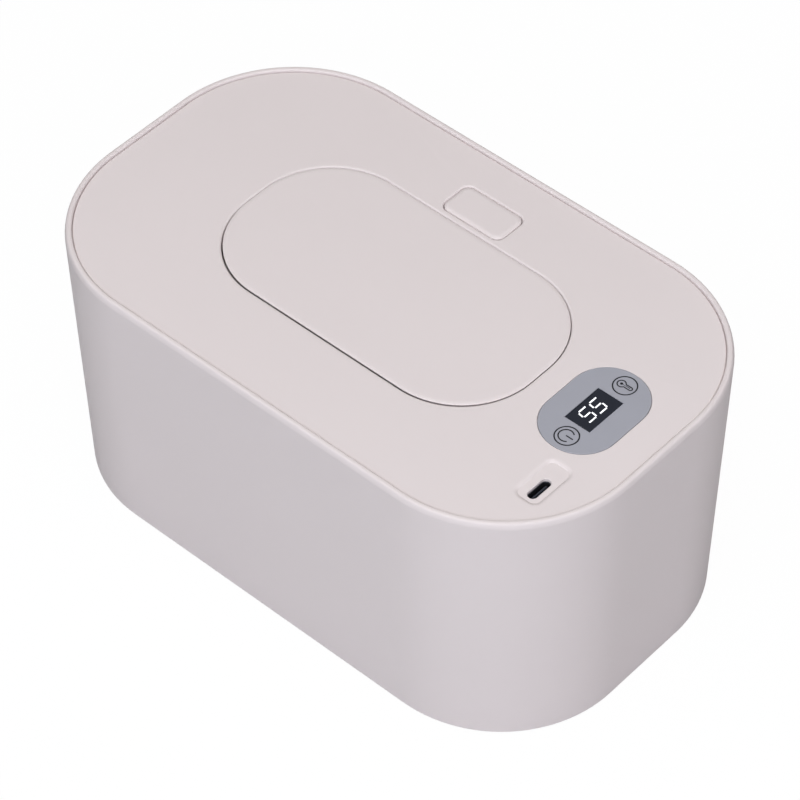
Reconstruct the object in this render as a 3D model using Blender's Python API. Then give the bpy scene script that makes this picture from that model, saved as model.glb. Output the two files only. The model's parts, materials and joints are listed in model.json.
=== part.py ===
"""Baby wipe warmer with a lift-off top cover, a pop-up lid and a USB-C powered top heater.

Metres, +Z up. The origin is the middle of the footprint at the height of the feet's soles.
+X points to the display end, +Y to the side of the lid's button, -Y to the lid's hinge.
"""

from math import cos, hypot, pi, radians, sin, sqrt

import bmesh
import bpy
import numpy as np

MM = 0.001

# Whole body
BODY_LENGTH = 210.0 * MM
BODY_WIDTH = 126.8 * MM
RIM_HEIGHT = 98.4 * MM
BODY_END_FLAT = 16.0 * MM
BODY_DRAFT = 2.66 * MM
CORNER_STEPS = 8
COIL_STEPS = 8
GAP = 0.3 * MM
OVERRUN = 1.0 * MM

# Outer shell
SHELL_WALL = 2.2 * MM
RIM_OUTER_ROUND = 1.2 * MM
RIM_INNER_ROUND = 0.4 * MM
SHELL_LIFT = 0.8 * MM
SHELL_FOOT_ROUND = 0.4 * MM
LEDGE_THICKNESS = 1.5 * MM
UPPER_LEDGE_DEPTH = 6.7 * MM
ROUND_STEPS = 3

# Top cover
COVER_DROP = 0.4 * MM
COVER_SEAM = 0.35 * MM
COVER_THICKNESS = 2.2 * MM
COVER_EDGE_ROUND = 0.35 * MM
SKIRT_INSET = 7.4 * MM
SKIRT_WALL = 1.6 * MM
SKIRT_DEPTH = 14.8 * MM
WELL_DEPTH = 9.0 * MM
WELL_FLOOR = 1.8 * MM
WELL_WALL = 1.5 * MM
MOUTH_END_MARGIN = 19.73 * MM
MOUTH_SIDE_MARGIN = 13.76 * MM
MOUTH_END_FLAT = 0.1 * MM

# Lid
LID_END_MARGIN = 47.27 * MM
LID_SIDE_MARGIN = 31.64 * MM
LID_END_FLAT = 4.21 * MM
LID_SEAM = 0.35 * MM
LID_HINGE_SEAM = 0.6 * MM
LID_THICKNESS = 2.0 * MM
LID_EDGE_ROUND = 0.35 * MM
LID_UNDERCUT = 0.55 * MM
LID_TRAY_INSET = 1.6 * MM
LID_TRAY_WALL = 1.4 * MM
LID_TRAY_FLOOR = 1.5 * MM
LID_TRAY_CLEARANCE = 2.5 * MM
LID_RIB_WALL = 1.2 * MM
LID_RIB_DEPTH = 1.8 * MM
LID_OPEN_ANGLE = 100.0
CATCH_WIDTH = 12.0 * MM
CATCH_THICKNESS = 1.0 * MM
CATCH_LIP_GAP = 0.75 * MM
CATCH_STEM = 1.6 * MM

# Lid hinge
PIN_RADIUS = 0.6 * MM
BARREL_WALL = 0.6 * MM
ARM_WIDTH = 4.4 * MM
ARM_THICKNESS = 1.4 * MM
ARM_CLEARANCE = 0.35 * MM
POCKET_PAST_STRAIGHT = 0.12 * MM
POCKET_WIDTH = 9.0 * MM
POCKET_WALL = 1.2 * MM
POCKET_ROOF = 1.0 * MM
POCKET_PLAY = 0.4 * MM
ARM_SIDE_PLAY = 0.6 * MM
PIN_SIDES = 12
ARM_STEPS = 9
ARM_FRONT_ANGLE = 4.0
ARM_BACK_ANGLE = -150.0
ARM_WEB_ANGLE = -125.0
BARREL_START_ANGLE = 150.0
BARREL_END_ANGLE = -105.0
HINGE_REACH = 3.8 * MM
SPRING_WIRE = 0.4 * MM
SPRING_PITCH = 0.86 * MM
SPRING_COILS = 3
SPRING_LEG = 3.6 * MM

# Button and latch
BUTTON_LAND = 2.29 * MM
BUTTON_OPENING_LENGTH = 24.0 * MM
BUTTON_OPENING_WIDTH = 13.3 * MM
BUTTON_OPENING_CORNER = 3.3 * MM
BUTTON_SEAM = 0.35 * MM
BUTTON_PROUD = 0.15 * MM
BUTTON_CAP = 1.9 * MM
BUTTON_EDGE_ROUND = 0.7 * MM
BUTTON_WALL = 1.2 * MM
BUTTON_WALL_DEPTH = 2.0 * MM
BUTTON_TRAVEL = 1.8 * MM
LEG_OFFSET = 7.6 * MM
LEG_THICKNESS = 1.5 * MM
LEG_WIDTH = 6.8 * MM
LEG_DEPTH = 8.3 * MM
TRUNNION_RADIUS = 0.9 * MM
TRUNNION_OFFSET_Y = 2.5 * MM
BAR_THICKNESS = 2.0 * MM
BAR_DEPTH = 4.5 * MM
BAR_TIP_GAP = 0.3 * MM
BAR_NOSE_INSET = 0.8 * MM
BAR_NOSE_SLOPE = 0.9 * MM
BAR_BACK = 5.3 * MM
BAR_WINDOW_WIDTH = 6.4 * MM
BAR_WINDOW_LENGTH = 8.2 * MM
BUTTON_SPRING_OFFSET_Y = 1.5 * MM
BUTTON_SPRING_RADIUS = 2.3 * MM
BUTTON_SPRING_WIRE = 0.5 * MM
BUTTON_SPRING_COILS = 5
BRACKET_LENGTH = 40.0 * MM
BRACKET_FLOOR = 1.4 * MM
BRACKET_FRONT = 6.3 * MM
BRACKET_BACK = 5.8 * MM
BRACKET_RIB = 1.2 * MM
BRACKET_CUP_WALL = 1.1 * MM
BRACKET_CUP_DEPTH = 3.6 * MM
BRACKET_SCREW_INSET = 3.5 * MM

# Display panel
PANEL_END_DISTANCE = 26.55 * MM
PANEL_LENGTH = 25.6 * MM
PANEL_WIDTH = 37.77 * MM
PANEL_CORNER = 12.58 * MM
PANEL_FILM = 0.55 * MM
PANEL_POCKET = 0.8 * MM
PANEL_PROUD = 0.05 * MM
PANEL_SEAM = 0.15 * MM
WINDOW_LENGTH = 9.52 * MM
WINDOW_WIDTH = 15.41 * MM
WINDOW_OFFSET_X = -0.25 * MM
LENS_THICKNESS = 0.5 * MM
MODULE_INSET = 0.5 * MM
TOUCH_OFFSET_Y = 13.35 * MM

# Power inlet
PORT_EDGE_DISTANCE = 10.156 * MM
PORT_LAND = 3.215 * MM
PORT_RECESS_LENGTH = 9.9 * MM
PORT_RECESS_WIDTH = 18.2 * MM
PORT_RECESS_CORNER = 2.4 * MM
PORT_RECESS_DEPTH = 1.4 * MM
PORT_RECESS_SLOPE = 0.8 * MM
PORT_OFFSET_X = 0.4 * MM
PORT_OFFSET_Y = -2.4 * MM
SOCKET_OUTER_LENGTH = 3.2 * MM
SOCKET_OUTER_WIDTH = 8.94 * MM
SOCKET_WALL = 0.3 * MM
SOCKET_FLOOR = 1.0 * MM
TONGUE_LENGTH = 0.7 * MM
TONGUE_WIDTH = 6.7 * MM
TONGUE_DEPTH = 0.8 * MM

# Control board
BOARD_WELL_GAP = 4.77 * MM
BOARD_SKIRT_GAP = 0.9 * MM
BOARD_PORT_MARGIN = 8.8 * MM
BOARD_TOUCH_MARGIN = 7.15 * MM
BOARD_THICKNESS = 1.6 * MM
BOARD_DROP = 10.0 * MM
BOARD_SCREW_INSET_X = 3.8 * MM
BOARD_SCREW_INSET_LOW = 4.4 * MM
BOARD_SCREW_INSET_HIGH = 3.5 * MM
BOARD_BOSS_RADIUS = 2.2 * MM
TOUCH_SPRING_RADIUS = 2.6 * MM
TOUCH_SPRING_WIRE = 0.5 * MM
TOUCH_SPRING_COILS = 4

# Heater and inner cover
INNER_FLOOR = 1.6 * MM
INNER_RIM_INSET = 0.4 * MM
INNER_RIM_WALL = 1.4 * MM
INNER_RIM_DEPTH = 3.5 * MM
PAN_END_MARGIN = 21.0 * MM
PAN_SIDE_MARGIN = 19.4 * MM
PAN_CORNER_MARGIN = 18.4 * MM
PAN_METAL = 1.0 * MM
PAN_FLANGE = 2.4 * MM
PAN_DEPTH = 3.3 * MM
COLLAR_GAP = 2.0 * MM
FILM_THICKNESS = 0.4 * MM
FILM_MARGIN = 1.5 * MM
PAD_THICKNESS = 2.4 * MM
SENSOR_EDGE_DISTANCE = 24.0 * MM
SENSOR_LENGTH = 5.0 * MM
SENSOR_WIDTH = 3.4 * MM
SENSOR_HEIGHT = 2.0 * MM
FUSE_LENGTH = 9.0 * MM
FUSE_RADIUS = 1.4 * MM
PAD_WINDOW_MARGIN = 1.2 * MM
LEAD_RADIUS = 0.6 * MM
LEAD_BOARD_INSET = 4.0 * MM
LEAD_Y = -6.0 * MM
LEAD_SPACING = 5.0 * MM

# Dispensing insert
INSERT_FLANGE = 3.0 * MM
INSERT_FLANGE_THICKNESS = 1.2 * MM
INSERT_WALL = 1.5 * MM
INSERT_LIP = 1.2 * MM
INSERT_LIP_HEIGHT = 2.0 * MM
INSERT_SKIN = 1.2 * MM
SLOT_END_MARGIN = 15.0 * MM
SLIT_WIDTH = 0.8 * MM
SLIT_OFFSET_SHARE = 0.5

# Seals
LID_GASKET_END_MARGIN = 11.53 * MM
LID_GASKET_SIDE_MARGIN = 6.46 * MM
LID_GASKET_END_FLAT = 3.3 * MM
LID_GASKET_WALL = 2.2 * MM
LID_GASKET_SEAT = 0.8 * MM
COVER_GASKET_INSET = 1.2 * MM
COVER_GASKET_WALL = 2.0 * MM

# Inner tub
TUB_INSET = 5.0 * MM
TUB_WALL = 1.6 * MM
TUB_DRAFT = 2.5 * MM
TUB_FLANGE = 1.6 * MM
TUB_FLOOR = 1.8 * MM
TUB_FLOOR_HEIGHT = 10.0 * MM
TUB_FLOOR_ROUND = 4.0 * MM

# Base plate and feet
BASE_RECESS = 0.6 * MM
BASE_THICKNESS = 2.4 * MM
BASE_RIB_HEIGHT = 3.0 * MM
BASE_RIB_WALL = 1.4 * MM
BASE_RIB_INSET = 8.0 * MM
FOOT_RADIUS = 6.0 * MM
FOOT_POCKET = 0.8 * MM
FOOT_ROUND = 0.4 * MM
FOOT_END_DISTANCE = 33.0 * MM
FOOT_SIDE_DISTANCE = 27.4 * MM
BASE_SCREW_END_DISTANCE = 59.0 * MM
BASE_SCREW_SIDE_DISTANCE = 23.4 * MM
BASE_COUNTERBORE = 1.4 * MM

# Lift plate
LIFT_REST_HEIGHT = 41.8 * MM
LIFT_PANEL = 1.8 * MM
LIFT_WALL = 1.6 * MM
LIFT_WALL_DEPTH = 7.8 * MM
LIFT_CLEARANCE = 1.1 * MM
LIFT_RIB = 1.4 * MM
LIFT_RIB_DEPTH = 3.0 * MM
LIFT_SPRING_END_DISTANCE = 45.0 * MM
LIFT_SPRING_SIDE_DISTANCE = 37.4 * MM
LIFT_SPRING_RADIUS = 6.0 * MM
LIFT_SPRING_WIRE = 1.0 * MM
LIFT_SPRING_COILS = 5
POST_HEIGHT = 2.6 * MM
DRAIN_RADIUS = 2.5 * MM
DRAIN_END_DISTANCE = 75.0 * MM

# Shares of the piece that they shape
CROWN_RADIUS_SHARE = 0.75
CROWN_HEIGHT_SHARE = 0.33
POINT_RADIUS_SHARE = 0.5
BORE_FLOOR_SHARE = 0.33
LEG_FRONT_SHARE = 0.33
SLOT_WIDTH_SHARE = 0.3333
SLIT_REACH_SHARE = 0.25

# Screws
SCREW_HEAD_RADIUS = 2.3 * MM
SCREW_HEAD_HEIGHT = 1.1 * MM
SCREW_SHANK_RADIUS = 1.0 * MM
SCREW_LENGTH = 5.0 * MM
SCREW_SIDES = 8
ROUND_SIDES = 14
BOSS_RADIUS = 2.6 * MM
BOSS_SIDES = 10
SCREW_BORE_DEPTH = 5.6 * MM
COVER_SCREW_INSET = 14.0 * MM
COVER_SCREW_ANGLE = 62.0
MIDDLE_SCREW_LAND = 6.0 * MM

# Plan sizes and places that follow from the body, the lid's opening and each other
HALF_LENGTH = BODY_LENGTH / 2
HALF_WIDTH = BODY_WIDTH / 2
BODY_CORNER = HALF_WIDTH - BODY_END_FLAT
LID_OPENING_LENGTH = BODY_LENGTH - 2 * LID_END_MARGIN
LID_OPENING_WIDTH = BODY_WIDTH - 2 * LID_SIDE_MARGIN
LID_OPENING_CORNER = LID_OPENING_WIDTH / 2 - LID_END_FLAT
POCKET_START = LID_OPENING_LENGTH / 2 - LID_OPENING_CORNER + POCKET_PAST_STRAIGHT - POCKET_WIDTH
LID_GASKET_LENGTH = LID_OPENING_LENGTH - 2 * LID_GASKET_END_MARGIN
LID_GASKET_WIDTH = LID_OPENING_WIDTH - 2 * LID_GASKET_SIDE_MARGIN
LID_GASKET_CORNER = LID_GASKET_WIDTH / 2 - LID_GASKET_END_FLAT
MOUTH_LENGTH = LID_OPENING_LENGTH - 2 * MOUTH_END_MARGIN
MOUTH_WIDTH = LID_OPENING_WIDTH - 2 * MOUTH_SIDE_MARGIN
MOUTH_CORNER = MOUTH_WIDTH / 2 - MOUTH_END_FLAT
SLOT_LENGTH = MOUTH_LENGTH - 2 * SLOT_END_MARGIN
SLOT_WIDTH = MOUTH_WIDTH * SLOT_WIDTH_SHARE
PAN_LENGTH = BODY_LENGTH - 2 * PAN_END_MARGIN
PAN_WIDTH = BODY_WIDTH - 2 * PAN_SIDE_MARGIN
PAN_CORNER = BODY_CORNER - PAN_CORNER_MARGIN
SENSOR_X = SENSOR_EDGE_DISTANCE - PAN_LENGTH / 2
SENSOR_Y = PAN_WIDTH / 2 - SENSOR_EDGE_DISTANCE
BUTTON_CENTRE_Y = LID_OPENING_WIDTH / 2 + BUTTON_LAND + BUTTON_OPENING_WIDTH / 2
BRACKET_SCREW_X = BRACKET_LENGTH / 2 - BRACKET_SCREW_INSET
PANEL_CENTRE_X = HALF_LENGTH - PANEL_END_DISTANCE
PORT_RECESS_Y = -PANEL_WIDTH / 2 - PORT_LAND - PORT_RECESS_WIDTH / 2
PORT_Y = PORT_RECESS_Y + PORT_OFFSET_Y
PORT_CORNER_DEPTH = SOCKET_OUTER_WIDTH / 2 - PORT_Y - BODY_END_FLAT
PORT_CORNER_REACH = sqrt((BODY_CORNER - PORT_EDGE_DISTANCE) ** 2 - PORT_CORNER_DEPTH ** 2)
PORT_X = HALF_LENGTH - BODY_CORNER + PORT_CORNER_REACH - SOCKET_OUTER_LENGTH / 2
PORT_RECESS_X = PORT_X - PORT_OFFSET_X
BOARD_START_X = LID_OPENING_LENGTH / 2 + BOARD_WELL_GAP
BOARD_LOW_Y = PORT_Y - BOARD_PORT_MARGIN
BOARD_HIGH_Y = TOUCH_OFFSET_Y + BOARD_TOUCH_MARGIN
BOARD_SCREW_X = BOARD_START_X + BOARD_SCREW_INSET_X
BOARD_SCREW_LOW_Y = BOARD_LOW_Y + BOARD_SCREW_INSET_LOW
BOARD_SCREW_HIGH_Y = BOARD_HIGH_Y - BOARD_SCREW_INSET_HIGH
LEAD_X = BOARD_START_X + LEAD_BOARD_INSET
FOOT_X = HALF_LENGTH - FOOT_END_DISTANCE
FOOT_Y = HALF_WIDTH - FOOT_SIDE_DISTANCE
BASE_SCREW_X = HALF_LENGTH - BASE_SCREW_END_DISTANCE
BASE_SCREW_Y = HALF_WIDTH - BASE_SCREW_SIDE_DISTANCE
LIFT_SPRING_X = HALF_LENGTH - LIFT_SPRING_END_DISTANCE
LIFT_SPRING_Y = HALF_WIDTH - LIFT_SPRING_SIDE_DISTANCE
DRAIN_X = HALF_LENGTH - DRAIN_END_DISTANCE
COVER_SCREW_REACH = BODY_CORNER - COVER_SCREW_INSET
COVER_SCREW_X = HALF_LENGTH - BODY_CORNER + COVER_SCREW_REACH * cos(radians(COVER_SCREW_ANGLE))
COVER_SCREW_Y = BODY_END_FLAT + COVER_SCREW_REACH * sin(radians(COVER_SCREW_ANGLE))
MIDDLE_SCREW_X = BRACKET_LENGTH / 2 + MIDDLE_SCREW_LAND
MIDDLE_SCREW_Y = HALF_WIDTH - COVER_SCREW_INSET

# Heights that several pieces share
COVER_TOP = RIM_HEIGHT - COVER_DROP
COVER_UNDERSIDE = COVER_TOP - COVER_THICKNESS
WELL_FLOOR_TOP = COVER_TOP - WELL_DEPTH
WELL_FLOOR_UNDERSIDE = WELL_FLOOR_TOP - WELL_FLOOR
SKIRT_BOTTOM = COVER_UNDERSIDE - SKIRT_DEPTH
UPPER_LEDGE_TOP = RIM_HEIGHT - UPPER_LEDGE_DEPTH
FLANGE_TOP = UPPER_LEDGE_TOP + GAP + TUB_FLANGE
BASE_BOTTOM = SHELL_LIFT + BASE_RECESS
BASE_TOP = BASE_BOTTOM + BASE_THICKNESS
COVER_INSET = SHELL_WALL + COVER_SEAM
INNER_FLOOR_TOP = SKIRT_BOTTOM + INNER_FLOOR
PAN_FLANGE_BOTTOM = INNER_FLOOR_TOP + GAP
PAN_BOTTOM = PAN_FLANGE_BOTTOM + PAN_METAL - PAN_DEPTH
BOARD_TOP = COVER_TOP - BOARD_DROP + BOARD_THICKNESS
BOARD_BOTTOM = COVER_TOP - BOARD_DROP
PORT_FLOOR = COVER_TOP - PORT_RECESS_DEPTH
LID_UNDERSIDE = COVER_TOP - LID_THICKNESS
LID_TRAY_BOTTOM = WELL_FLOOR_TOP + LID_TRAY_CLEARANCE
LID_LENGTH = LID_OPENING_LENGTH - 2 * LID_SEAM
LID_WIDTH = LID_OPENING_WIDTH - LID_SEAM - LID_HINGE_SEAM
LID_SHIFT_Y = (LID_HINGE_SEAM - LID_SEAM) / 2
LID_CORNER = LID_OPENING_CORNER - LID_SEAM
LID_LOW_Y = LID_SHIFT_Y - LID_WIDTH / 2
BARREL_RADIUS = PIN_RADIUS + GAP + BARREL_WALL
HINGE_Y = LID_LOW_Y - HINGE_REACH
HINGE_Z = COVER_TOP - POCKET_ROOF - GAP - BARREL_RADIUS
EDGE_REACH = hypot(-LID_OPENING_WIDTH / 2 - HINGE_Y, COVER_TOP - HINGE_Z)
ARM_INNER = EDGE_REACH + ARM_CLEARANCE
ARM_OUTER = ARM_INNER + ARM_THICKNESS
BAR_TOP = COVER_TOP - BAR_DEPTH
BAR_BOTTOM = BAR_TOP - BAR_THICKNESS
BRACKET_TOP = BAR_BOTTOM - GAP
BRACKET_BOTTOM = BRACKET_TOP - BRACKET_FLOOR
TRUNNION_Y = BUTTON_CENTRE_Y - TRUNNION_OFFSET_Y
TRUNNION_Z = (BAR_TOP + BAR_BOTTOM) / 2
BAR_HALF_WIDTH = LEG_OFFSET - 2 * GAP
BUTTON_UNDERSIDE = COVER_TOP + BUTTON_PROUD - BUTTON_CAP
TUB_FLOOR_TOP = TUB_FLOOR_HEIGHT + TUB_FLOOR
BOARD_INSET = SKIRT_INSET + SKIRT_WALL + BOARD_SKIRT_GAP
SCREW_CLEAR_RADIUS = SCREW_SHANK_RADIUS + GAP
TOLERANCE = 0.0001 * MM

BOARD_SCREW_PLACES = [(BOARD_SCREW_X, BOARD_SCREW_LOW_Y), (BOARD_SCREW_X, BOARD_SCREW_HIGH_Y)]
LATCH_SCREW_PLACES = [(-BRACKET_SCREW_X, BUTTON_CENTRE_Y), (BRACKET_SCREW_X, BUTTON_CENTRE_Y)]
FOUR_SIGNS = [(-1, -1), (1, -1), (-1, 1), (1, 1)]
COVER_SCREW_PLACES = [(side * COVER_SCREW_X, end * COVER_SCREW_Y) for side, end in FOUR_SIGNS]
COVER_SCREW_PLACES += [(side * MIDDLE_SCREW_X, end * MIDDLE_SCREW_Y) for side, end in FOUR_SIGNS]


def clear_scene():
    for item in list(bpy.data.objects):
        bpy.data.objects.remove(item, do_unlink=True)


def make_material(name, colour, roughness, metallic=0.0):
    material = bpy.data.materials.new(name)
    material.use_nodes = True
    shader = material.node_tree.nodes["Principled BSDF"]
    shader.inputs["Base Color"].default_value = (*colour, 1.0)
    shader.inputs["Roughness"].default_value = roughness
    shader.inputs["Metallic"].default_value = metallic
    return material


def rounded_outline(length, width, corner, centre=(0.0, 0.0), steps=CORNER_STEPS):
    """Points of a rectangle with round corners, counter-clockwise from the +X side."""
    points = []
    corner = min(corner, length / 2 - TOLERANCE, width / 2 - TOLERANCE)
    for quarter, (side_x, side_y) in enumerate([(1, 1), (-1, 1), (-1, -1), (1, -1)]):
        middle_x = centre[0] + side_x * (length / 2 - corner)
        middle_y = centre[1] + side_y * (width / 2 - corner)
        for step in range(steps + 1):
            angle = (quarter + step / steps) * pi / 2
            points.append((middle_x + corner * cos(angle), middle_y + corner * sin(angle)))
    return points


def body_outline(inset):
    """The outline of the whole body, moved inwards by the inset."""
    return rounded_outline(BODY_LENGTH - 2 * inset, BODY_WIDTH - 2 * inset, BODY_CORNER - inset)


def lid_outline(inset):
    """The outline of the lid's upper face, moved inwards by the inset."""
    length = LID_LENGTH - 2 * inset
    width = LID_WIDTH - 2 * inset
    return rounded_outline(length, width, LID_CORNER - inset, (0.0, LID_SHIFT_Y))


def opening_outline(outset):
    """The outline of the lid's opening in the top cover, moved outwards by the outset."""
    length = LID_OPENING_LENGTH + 2 * outset
    width = LID_OPENING_WIDTH + 2 * outset
    return rounded_outline(length, width, LID_OPENING_CORNER + outset)


def mouth_outline(outset):
    """The outline of the dispensing mouth, moved outwards by the outset."""
    length = MOUTH_LENGTH + 2 * outset
    width = MOUTH_WIDTH + 2 * outset
    return rounded_outline(length, width, MOUTH_CORNER + outset)


def pan_outline(outset):
    """The outline of the heating pan's outer wall, moved outwards by the outset."""
    length = PAN_LENGTH + 2 * outset
    width = PAN_WIDTH + 2 * outset
    return rounded_outline(length, width, PAN_CORNER + outset)


def link_object(name, mesh, material):
    item = bpy.data.objects.new(name, mesh)
    bpy.context.scene.collection.objects.link(item)
    if material is not None:
        mesh.materials.append(material)
    return item


def finish_mesh(name, builder, material, smooth_angle=35.0):
    """Turn a bmesh into an object with its faces pointing outwards."""
    bmesh.ops.recalc_face_normals(builder, faces=builder.faces)
    if builder.calc_volume(signed=True) < 0:
        bmesh.ops.reverse_faces(builder, faces=builder.faces)
    mesh = bpy.data.meshes.new(name)
    builder.to_mesh(mesh)
    builder.free()
    mesh.shade_smooth()
    mesh.set_sharp_from_angle(angle=radians(smooth_angle))
    return link_object(name, mesh, material)


def loft(name, sections, material=None, ring=False):
    """Join outlines with equal counts of points. A ring closes on its first section, else ends are capped.

    Each section is an outline and its height.
    """
    builder = bmesh.new()
    loops = [[builder.verts.new((x, y, height)) for x, y in outline] for outline, height in sections]
    pairs = list(zip(loops, loops[1:] + loops[:1]))
    if not ring:
        pairs.pop()
    for lower, upper in pairs:
        for index in range(len(lower)):
            following = (index + 1) % len(lower)
            builder.faces.new((lower[index], lower[following], upper[following], upper[index]))
    if not ring:
        builder.faces.new(loops[0])
        builder.faces.new(loops[-1])
    return finish_mesh(name, builder, material)


def prism(name, outline, bottom, top, material=None):
    return loft(name, [(outline, bottom), (outline, top)], material)


def box(name, low, high, material=None):
    outline = [(low[0], low[1]), (high[0], low[1]), (high[0], high[1]), (low[0], high[1])]
    return prism(name, outline, low[2], high[2], material)


def circle(radius, sides, centre=(0.0, 0.0)):
    turns = [2 * pi * (index + 0.5) / sides for index in range(sides)]
    return [(centre[0] + radius * cos(turn), centre[1] + radius * sin(turn)) for turn in turns]


def turned(name, profile, centre, sides, material=None):
    """A turned piece on an upright axis; the profile lists radius and height from bottom to top."""
    return loft(name, [(circle(radius, sides, centre), height) for radius, height in profile], material)


def along_x(name, outline, low_x, high_x, material=None):
    """Extrude an outline of the Y-Z plane along X."""
    builder = bmesh.new()
    loops = [[builder.verts.new((x, y, z)) for y, z in outline] for x in (low_x, high_x)]
    for index in range(len(outline)):
        following = (index + 1) % len(outline)
        builder.faces.new((loops[0][index], loops[0][following], loops[1][following], loops[1][index]))
    builder.faces.new(loops[0])
    builder.faces.new(loops[1])
    return finish_mesh(name, builder, material)


def combine(target, tool, operation):
    """Keep the tool as a hidden guide of a Boolean modifier on the target."""
    modifier = target.modifiers.new(f"{operation.lower()}_{len(target.modifiers)}", "BOOLEAN")
    modifier.operation = operation
    modifier.solver = "EXACT"
    modifier.object = tool
    tool.hide_render = True
    tool.display_type = "WIRE"


def cut(target, *tools):
    for tool in tools:
        combine(target, tool, "DIFFERENCE")


def add(target, *tools):
    for tool in tools:
        combine(target, tool, "UNION")


def tube(name, points, radius, sides_level, material):
    """A round wire or lead along its points, with closed ends."""
    curve = bpy.data.curves.new(name, "CURVE")
    curve.dimensions = "3D"
    curve.bevel_depth = radius
    curve.bevel_resolution = sides_level
    curve.use_fill_caps = True
    spline = curve.splines.new("POLY")
    spline.points.add(len(points) - 1)
    for point, place in zip(spline.points, points):
        point.co = (*place, 1.0)
    item = bpy.data.objects.new(name, curve)
    bpy.context.scene.collection.objects.link(item)
    curve.materials.append(material)
    return item


def least_gap_to_itself(points, wire, skip):
    """Least distance between the surfaces of turns that aren't neighbours along the wire."""
    places = np.array(points)
    least = float("inf")
    for index in range(len(places) - skip):
        distances = np.linalg.norm(places[index + skip:] - places[index], axis=1)
        least = min(least, float(distances.min()))
    return least - wire


def coil_points(radius, wire, height, coils, steps=COIL_STEPS):
    """The middle line of an upright compression spring that fills a height from zero, with straight ends."""
    rise = height - wire
    count = coils * steps
    points = [(radius, -wire, wire / 2)]
    for index in range(count + 1):
        turn = 2 * pi * index / steps
        points.append((radius * cos(turn), radius * sin(turn), wire / 2 + rise * index / count))
    points.append((radius, wire, height - wire / 2))
    return points


def coil_spring(name, centre, bottom, height, radius, wire, coils, material):
    places = coil_points(radius, wire, height, coils)
    points = [(centre[0] + x, centre[1] + y, bottom + z) for x, y, z in places]
    gap = least_gap_to_itself(points, wire, 5)
    print(f"{name}: least gap to itself {gap / MM:.2f} mm")
    return tube(name, points, wire / 2, 1, material)


def rounding(inset, height, radius, start, stop, steps=ROUND_STEPS):
    """Inset and height of points on a round edge whose arc centre is given; angles run from inwards up."""
    points = []
    for step in range(steps + 1):
        angle = radians(start + (stop - start) * step / steps)
        points.append((inset - radius * cos(angle), height + radius * sin(angle)))
    return points


def shell_draft(height):
    """How far the shell's outer face lies inside the top outline at a height."""
    return BODY_DRAFT * (RIM_HEIGHT - height) / (RIM_HEIGHT - SHELL_LIFT)


def build_outer_shell(material):
    """Drafted sleeve with a rounded rim, an upper ledge for the tub and a lower ledge for the base plate."""
    foot = SHELL_LIFT
    rim = RIM_HEIGHT
    lower_ledge = BASE_TOP + GAP
    profile = [(shell_draft(foot) + SHELL_FOOT_ROUND, foot)]
    profile += [(shell_draft(foot), foot + SHELL_FOOT_ROUND)]
    profile += rounding(RIM_OUTER_ROUND, rim - RIM_OUTER_ROUND, RIM_OUTER_ROUND, 0, 90)
    profile += rounding(SHELL_WALL - RIM_INNER_ROUND, rim - RIM_INNER_ROUND, RIM_INNER_ROUND, 90, 180, 1)
    for height, reach in [
        (UPPER_LEDGE_TOP, 0.0),
        (UPPER_LEDGE_TOP, TUB_INSET - GAP - SHELL_WALL),
        (UPPER_LEDGE_TOP - LEDGE_THICKNESS, TUB_INSET - GAP - SHELL_WALL),
        (UPPER_LEDGE_TOP - 2 * LEDGE_THICKNESS, None),
        (lower_ledge + LEDGE_THICKNESS, None),
        (lower_ledge + LEDGE_THICKNESS, LEDGE_THICKNESS),
        (lower_ledge, LEDGE_THICKNESS),
        (lower_ledge, None),
        (foot, None),
    ]:
        wall = SHELL_WALL + shell_draft(height)
        if reach is not None:
            wall = SHELL_WALL + reach + (shell_draft(height) if height < TUB_FLOOR_HEIGHT else 0.0)
        profile.append((wall, height))
    return loft("outer_shell", [(body_outline(inset), height) for inset, height in profile], material, True)


def tub_draft(height):
    """How far the tub's wall has drawn in at a height below its flange."""
    return TUB_DRAFT * (FLANGE_TOP - height) / (FLANGE_TOP - TUB_FLOOR_HEIGHT)


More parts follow.
